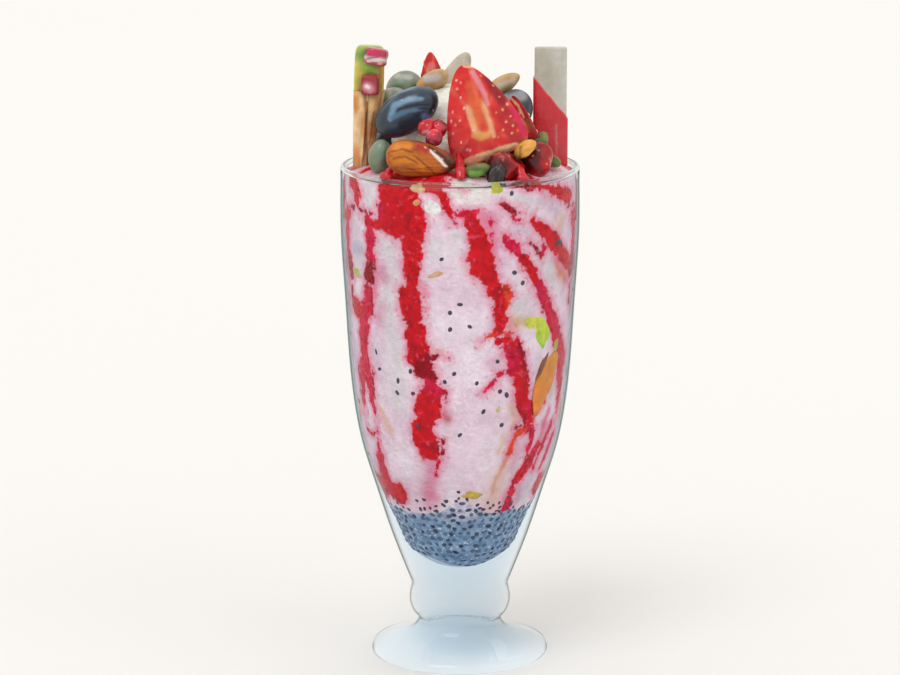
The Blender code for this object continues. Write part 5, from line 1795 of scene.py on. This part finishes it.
def cone_rings():
    """Up the outside, over the mouth's edge and down into it; radius 1.3 + 4.3 s^0.8 at share s."""
    share = np.concatenate([np.linspace(0, 1, 60), [1.0, 0.97, 0.93, 0.87]])
    radius = np.concatenate([1.3 + 4.3 * np.linspace(0, 1, 60) ** 0.8, [4.7, 4.5, 4.3, 4.0]])
    turn = 2 * math.pi * np.arange(WAFER_COLUMNS) / WAFER_COLUMNS
    lap = 0.94 + 0.12 * turn / (2 * math.pi)
    groove = 1 - 0.05 * bump(np.sin(1.5 * turn + 0.4), 0, 0.12)
    centre = CONE_TIP + share[:, None] * (CONE_TOP - CONE_TIP)
    ring = np.stack([np.sin(turn), -np.cos(turn), 0 * turn], axis=-1) * (lap * groove)[:, None]
    return centre[:, None] + radius[:, None, None] * ring[None]


def wafer_paint(p):
    """Golden, with dark seams along the cone and toasted patches."""
    turn = np.arctan2(p[:, 0] - CONE_TOP[0], -(p[:, 1] - CONE_TOP[1]))
    seam = np.maximum(bump(np.sin(1.5 * (turn % (2 * math.pi)) + 0.4), 0, 0.16), 0.5 * bump(turn, 0.9, 0.12))
    base = two_tones(p * (1, 1, 0.3), (232, 172, 106), (244, 212, 164), 2.0, 86, 0.7)
    base = mix(base, colour(190, 116, 62), 0.6 * ease((lumps(p, 5.0, 87) + 0.1) / 0.6))
    return mix(base, colour(132, 76, 42), 0.85 * seam)


cone_body = closed_body(cone_rings())
wafer_finish = food("wafer", 0.7, 0.14, 0.7, 0.08)
dressed("rolled_wafer", "wafer_cone", cone_body, wafer_finish, wafer_paint(cone_body[0]), sharp=60)
print("cone rings:", len(cone_body[0]))

# %% [markdown]
# ## Wafer finger
#
# The finger is a flat wafer, dipped aslant in strawberry coating. Its outline in a level section is
# a superellipse, which is a rectangle with rounded corners. The coating stands a little proud of the
# wafer, so the outline steps inwards where the height passes the slanted line.

# %% Finger
FINGER_MIDDLE, FINGER_HALF = np.array([32.2, 6.4]), np.array([6.2, 2.2])
FINGER_LOW, FINGER_TOP, FINGER_ROUND, COAT_LEFT, COAT_RIGHT = 170.0, 221.0, 0.7, 211.0, 196.0


def coat_line(x):
    """Height of the coating's edge: a straight slant, a little wavy."""
    share = (x - FINGER_MIDDLE[0] + FINGER_HALF[0]) / (2 * FINGER_HALF[0])
    return COAT_LEFT + (COAT_RIGHT - COAT_LEFT) * share + 0.15 * np.sin(1.4 * x)


def finger_rings():
    """Level superellipses of power 8 from the foot to the top, drawn in at both ends and above the coat."""
    shoulder = FINGER_TOP - FINGER_ROUND
    crown = shoulder + FINGER_ROUND * np.sin(np.linspace(0, 1.57, 6)[1:])
    height = np.concatenate([np.linspace(FINGER_LOW - 0.5, shoulder, 150), crown])
    turn = 2 * math.pi * np.arange(WAFER_COLUMNS) / WAFER_COLUMNS
    power = (np.abs(np.cos(turn)) ** 8 + np.abs(np.sin(turn)) ** 8) ** (-1 / 8)
    outline = np.stack([np.cos(turn), np.sin(turn)], axis=-1) * power[:, None]
    past = np.clip(height - shoulder, 0, FINGER_ROUND)
    ends = FINGER_ROUND - np.sqrt(np.clip(FINGER_ROUND**2 - past**2, 0, 1))
    x = FINGER_MIDDLE[0] + outline[:, 0] * FINGER_HALF[0]
    coated = ease((coat_line(x)[None] - height[:, None]) / 0.6)
    half = FINGER_HALF[None, None] - 0.45 * (1 - coated[..., None]) - ends[:, None, None]
    flat = FINGER_MIDDLE + outline[None] * half
    return np.concatenate([flat, np.broadcast_to(height[:, None, None], (*flat.shape[:2], 1))], axis=-1)


def finger_paint(p):
    """Beige wafer with a pressed grain, paler to the right; red coating that fades to pink low down."""
    coated = ease((coat_line(p[:, 0]) - p[:, 2]) / 0.5)
    right = ease((p[:, 0] - 28) / 9)
    pale = 0.6 * right + 0.35 * lumps(p * (1, 1, 0.25), 3.0, 88)
    wafer = mix(colour(184, 180, 166), colour(212, 210, 204), pale)
    faded = 0.8 * ease((202 - p[:, 2]) / 20) + 0.3 * lumps(p, 3.0, 89)
    coat = mix(colour(212, 34, 46), colour(208, 70, 80), faded)
    return mix(wafer, coat, coated)


finger_body = closed_body(finger_rings())
finger_values = {"paint": with_marks("wafer_finger", finger_body[0], finger_paint(finger_body[0]))}
finger_finish = food("dipped_wafer", 0.35, 0.07, 1.2, 0.05, coat=0.3)
piece("dipped_wafer", finger_body, finger_finish, finger_values, replaces="wafer_finger", sharp=50)
print("finger points:", len(finger_body[0]))

# %% [markdown]
# ## Drips of syrup on the heap
#
# Syrup spooned over the fruit runs down in beads. Each is a tube along a path, fat at its lower
# end, flattened against what it runs on.

# %% Drips
DRIPS = (
    # start, middle, end, start radius, end radius
    ((-0.6, -23.0, 188.0), (-0.2, -31.5, 185.5), (0.6, -36.8, 180.2), 1.7, 2.0),
    ((-22.0, -27.0, 184.5), (-25.0, -30.0, 182.2), (-26.5, -31.0, 179.0), 1.6, 3.2),
    ((20.0, -29.5, 185.0), (21.5, -32.4, 182.5), (22.0, -33.4, 178.3), 1.5, 2.4),
    ((-30.0, 2.0, 183.0), (-33.0, 3.0, 181.0), (-36.0, 3.5, 178.5), 1.6, 2.6),
    ((10.0, 24.5, 199.5), (11.0, 28.5, 195.5), (11.5, 31.5, 190.0), 1.3, 2.2),
    ((-12.0, 24.5, 196.5), (-12.5, 28.0, 192.0), (-13.0, 30.5, 187.0), 1.2, 2.0),
)


def drip(start, middle, end, first, last):
    """A tube on the curve (1-s)^2 A + 2s(1-s) B + s^2 C, thin where it starts."""
    start, middle, end = (np.array(point, float) for point in (start, middle, end))
    s = np.linspace(0, 1, 26)[:, None]
    path = (1 - s) ** 2 * start + 2 * s * (1 - s) * middle + s * s * end
    along = unit(np.gradient(path, axis=0))
    side = unit(np.cross(along, (0, 0, 1.0)))
    up = np.cross(side, along)
    radius = (first + (last - first) * s**2) * np.sqrt(np.clip(1 - (2 * s - 1) ** 8, 0.0004, 1))
    radius = radius * (0.4 + 0.6 * ease(s / 0.7)) * (1 + 0.12 * np.sin(17 * s + first))
    turn = 2 * math.pi * np.arange(24) / 24
    ring = side[:, None] * np.cos(turn)[:, None] + up[:, None] * (0.7 * np.sin(turn))[:, None]
    return closed_body(path[:, None] + ring * radius[:, None])


drip_body = joined([drip(*row) for row in DRIPS])
drip_paint = two_tones(drip_body[0], (176, 12, 24), (206, 30, 48), 3.0, 91)
syrup_finish = food("strawberry_syrup", 0.14, 0.1, 3.0, 0.03, coat=0.45)
piece("syrup_drips", drip_body, syrup_finish, {"paint": drip_paint})
print("drips:", len(DRIPS))

# %% [markdown]
# ## Stage, light and camera
#
# A plain pale floor and an even surround of one colour. The floor's own colour is chosen so that,
# lit by the surround and the lamps together, it shows the surround's colour.

# %% Floor and surround
FLOOR_HALF = 30


def plain(name, tint, rough):
    """A matt material of one colour, hardly mottled."""
    material, tree, shader, at = blank(name)
    tone = node(tree, "RGB").outputs["Color"]
    tone.default_value = (*tint, 1)
    mottled = scaled(tree, tone, grain(tree, at, 900.0, 1.0, 0.99, 1.0))
    plug(tree, shader, {"Base Color": mottled, "Roughness": rough, "Specular IOR Level": 0.0})
    return material


SURROUND = screen_light(250, 247, 242)
LAMPS_ON_FLOOR = 0.27
floor_mesh = bpy.data.meshes.new("floor")
floor_corners = [(FLOOR_HALF * x, FLOOR_HALF * y, 0) for x, y in ((-1, -1), (1, -1), (1, 1), (-1, 1))]
floor_mesh.from_pydata(floor_corners, [], [(0, 1, 2, 3)])
floor_mesh.materials.append(plain("pale_floor", SURROUND / (SURROUND + LAMPS_ON_FLOOR), 0.8))
floor = bpy.data.objects.new("floor", floor_mesh)
bpy.context.scene.collection.objects.link(floor)
world = bpy.data.worlds.new("surround")
bpy.context.scene.world = world
world.use_nodes = True
plug(world.node_tree, world.node_tree.nodes["Background"], {"Color": (*SURROUND, 1), "Strength": 1.0})
bpy.context.scene.view_settings.view_transform = "Standard"
print("stage set")


# %% [markdown]
# ## Lamps and camera
#
# One large soft lamp from the upper left, a weaker one from the right and one from behind light the
# glass as in a studio. The camera is long and looks down a little.

# %% Lamps and camera
def soft_sun(name, azimuth, elevation, strength, softness):
    """A far lamp: degrees from the front to the right, degrees above the floor, its own width."""
    lamp = bpy.data.lights.new(name, "SUN")
    lamp.energy, lamp.angle = strength, math.radians(softness)
    obj = bpy.data.objects.new(name, lamp)
    turn, up = math.radians(azimuth), math.radians(elevation)
    toward = Vector((math.sin(turn) * math.cos(up), -math.cos(turn) * math.cos(up), math.sin(up)))
    obj.rotation_euler = toward.to_track_quat("Z", "Y").to_euler()
    obj.location = toward
    bpy.context.scene.collection.objects.link(obj)


soft_sun("key", azimuth=-32, elevation=58, strength=0.8, softness=30)
soft_sun("fill", azimuth=55, elevation=35, strength=0.25, softness=40)
soft_sun("back", azimuth=160, elevation=55, strength=0.2, softness=30)

LENS_IN_PIXELS, FRAME_WIDTH, SENSOR = 3413.73, 900, 36.0
PITCH, YAW, CAMERA_PLACE = 11.9108, 0.1698, (0, -1.2, 0.37006)
camera = bpy.data.objects.new("camera", bpy.data.cameras.new("camera"))
camera.data.sensor_width = SENSOR
camera.data.lens = LENS_IN_PIXELS / FRAME_WIDTH * SENSOR
camera.data.clip_end = 100
camera.rotation_euler = (math.radians(90 - PITCH), 0, math.radians(YAW))
camera.location = CAMERA_PLACE
bpy.context.scene.collection.objects.link(camera)
bpy.context.scene.camera = camera
print("lens:", round(camera.data.lens, 1))
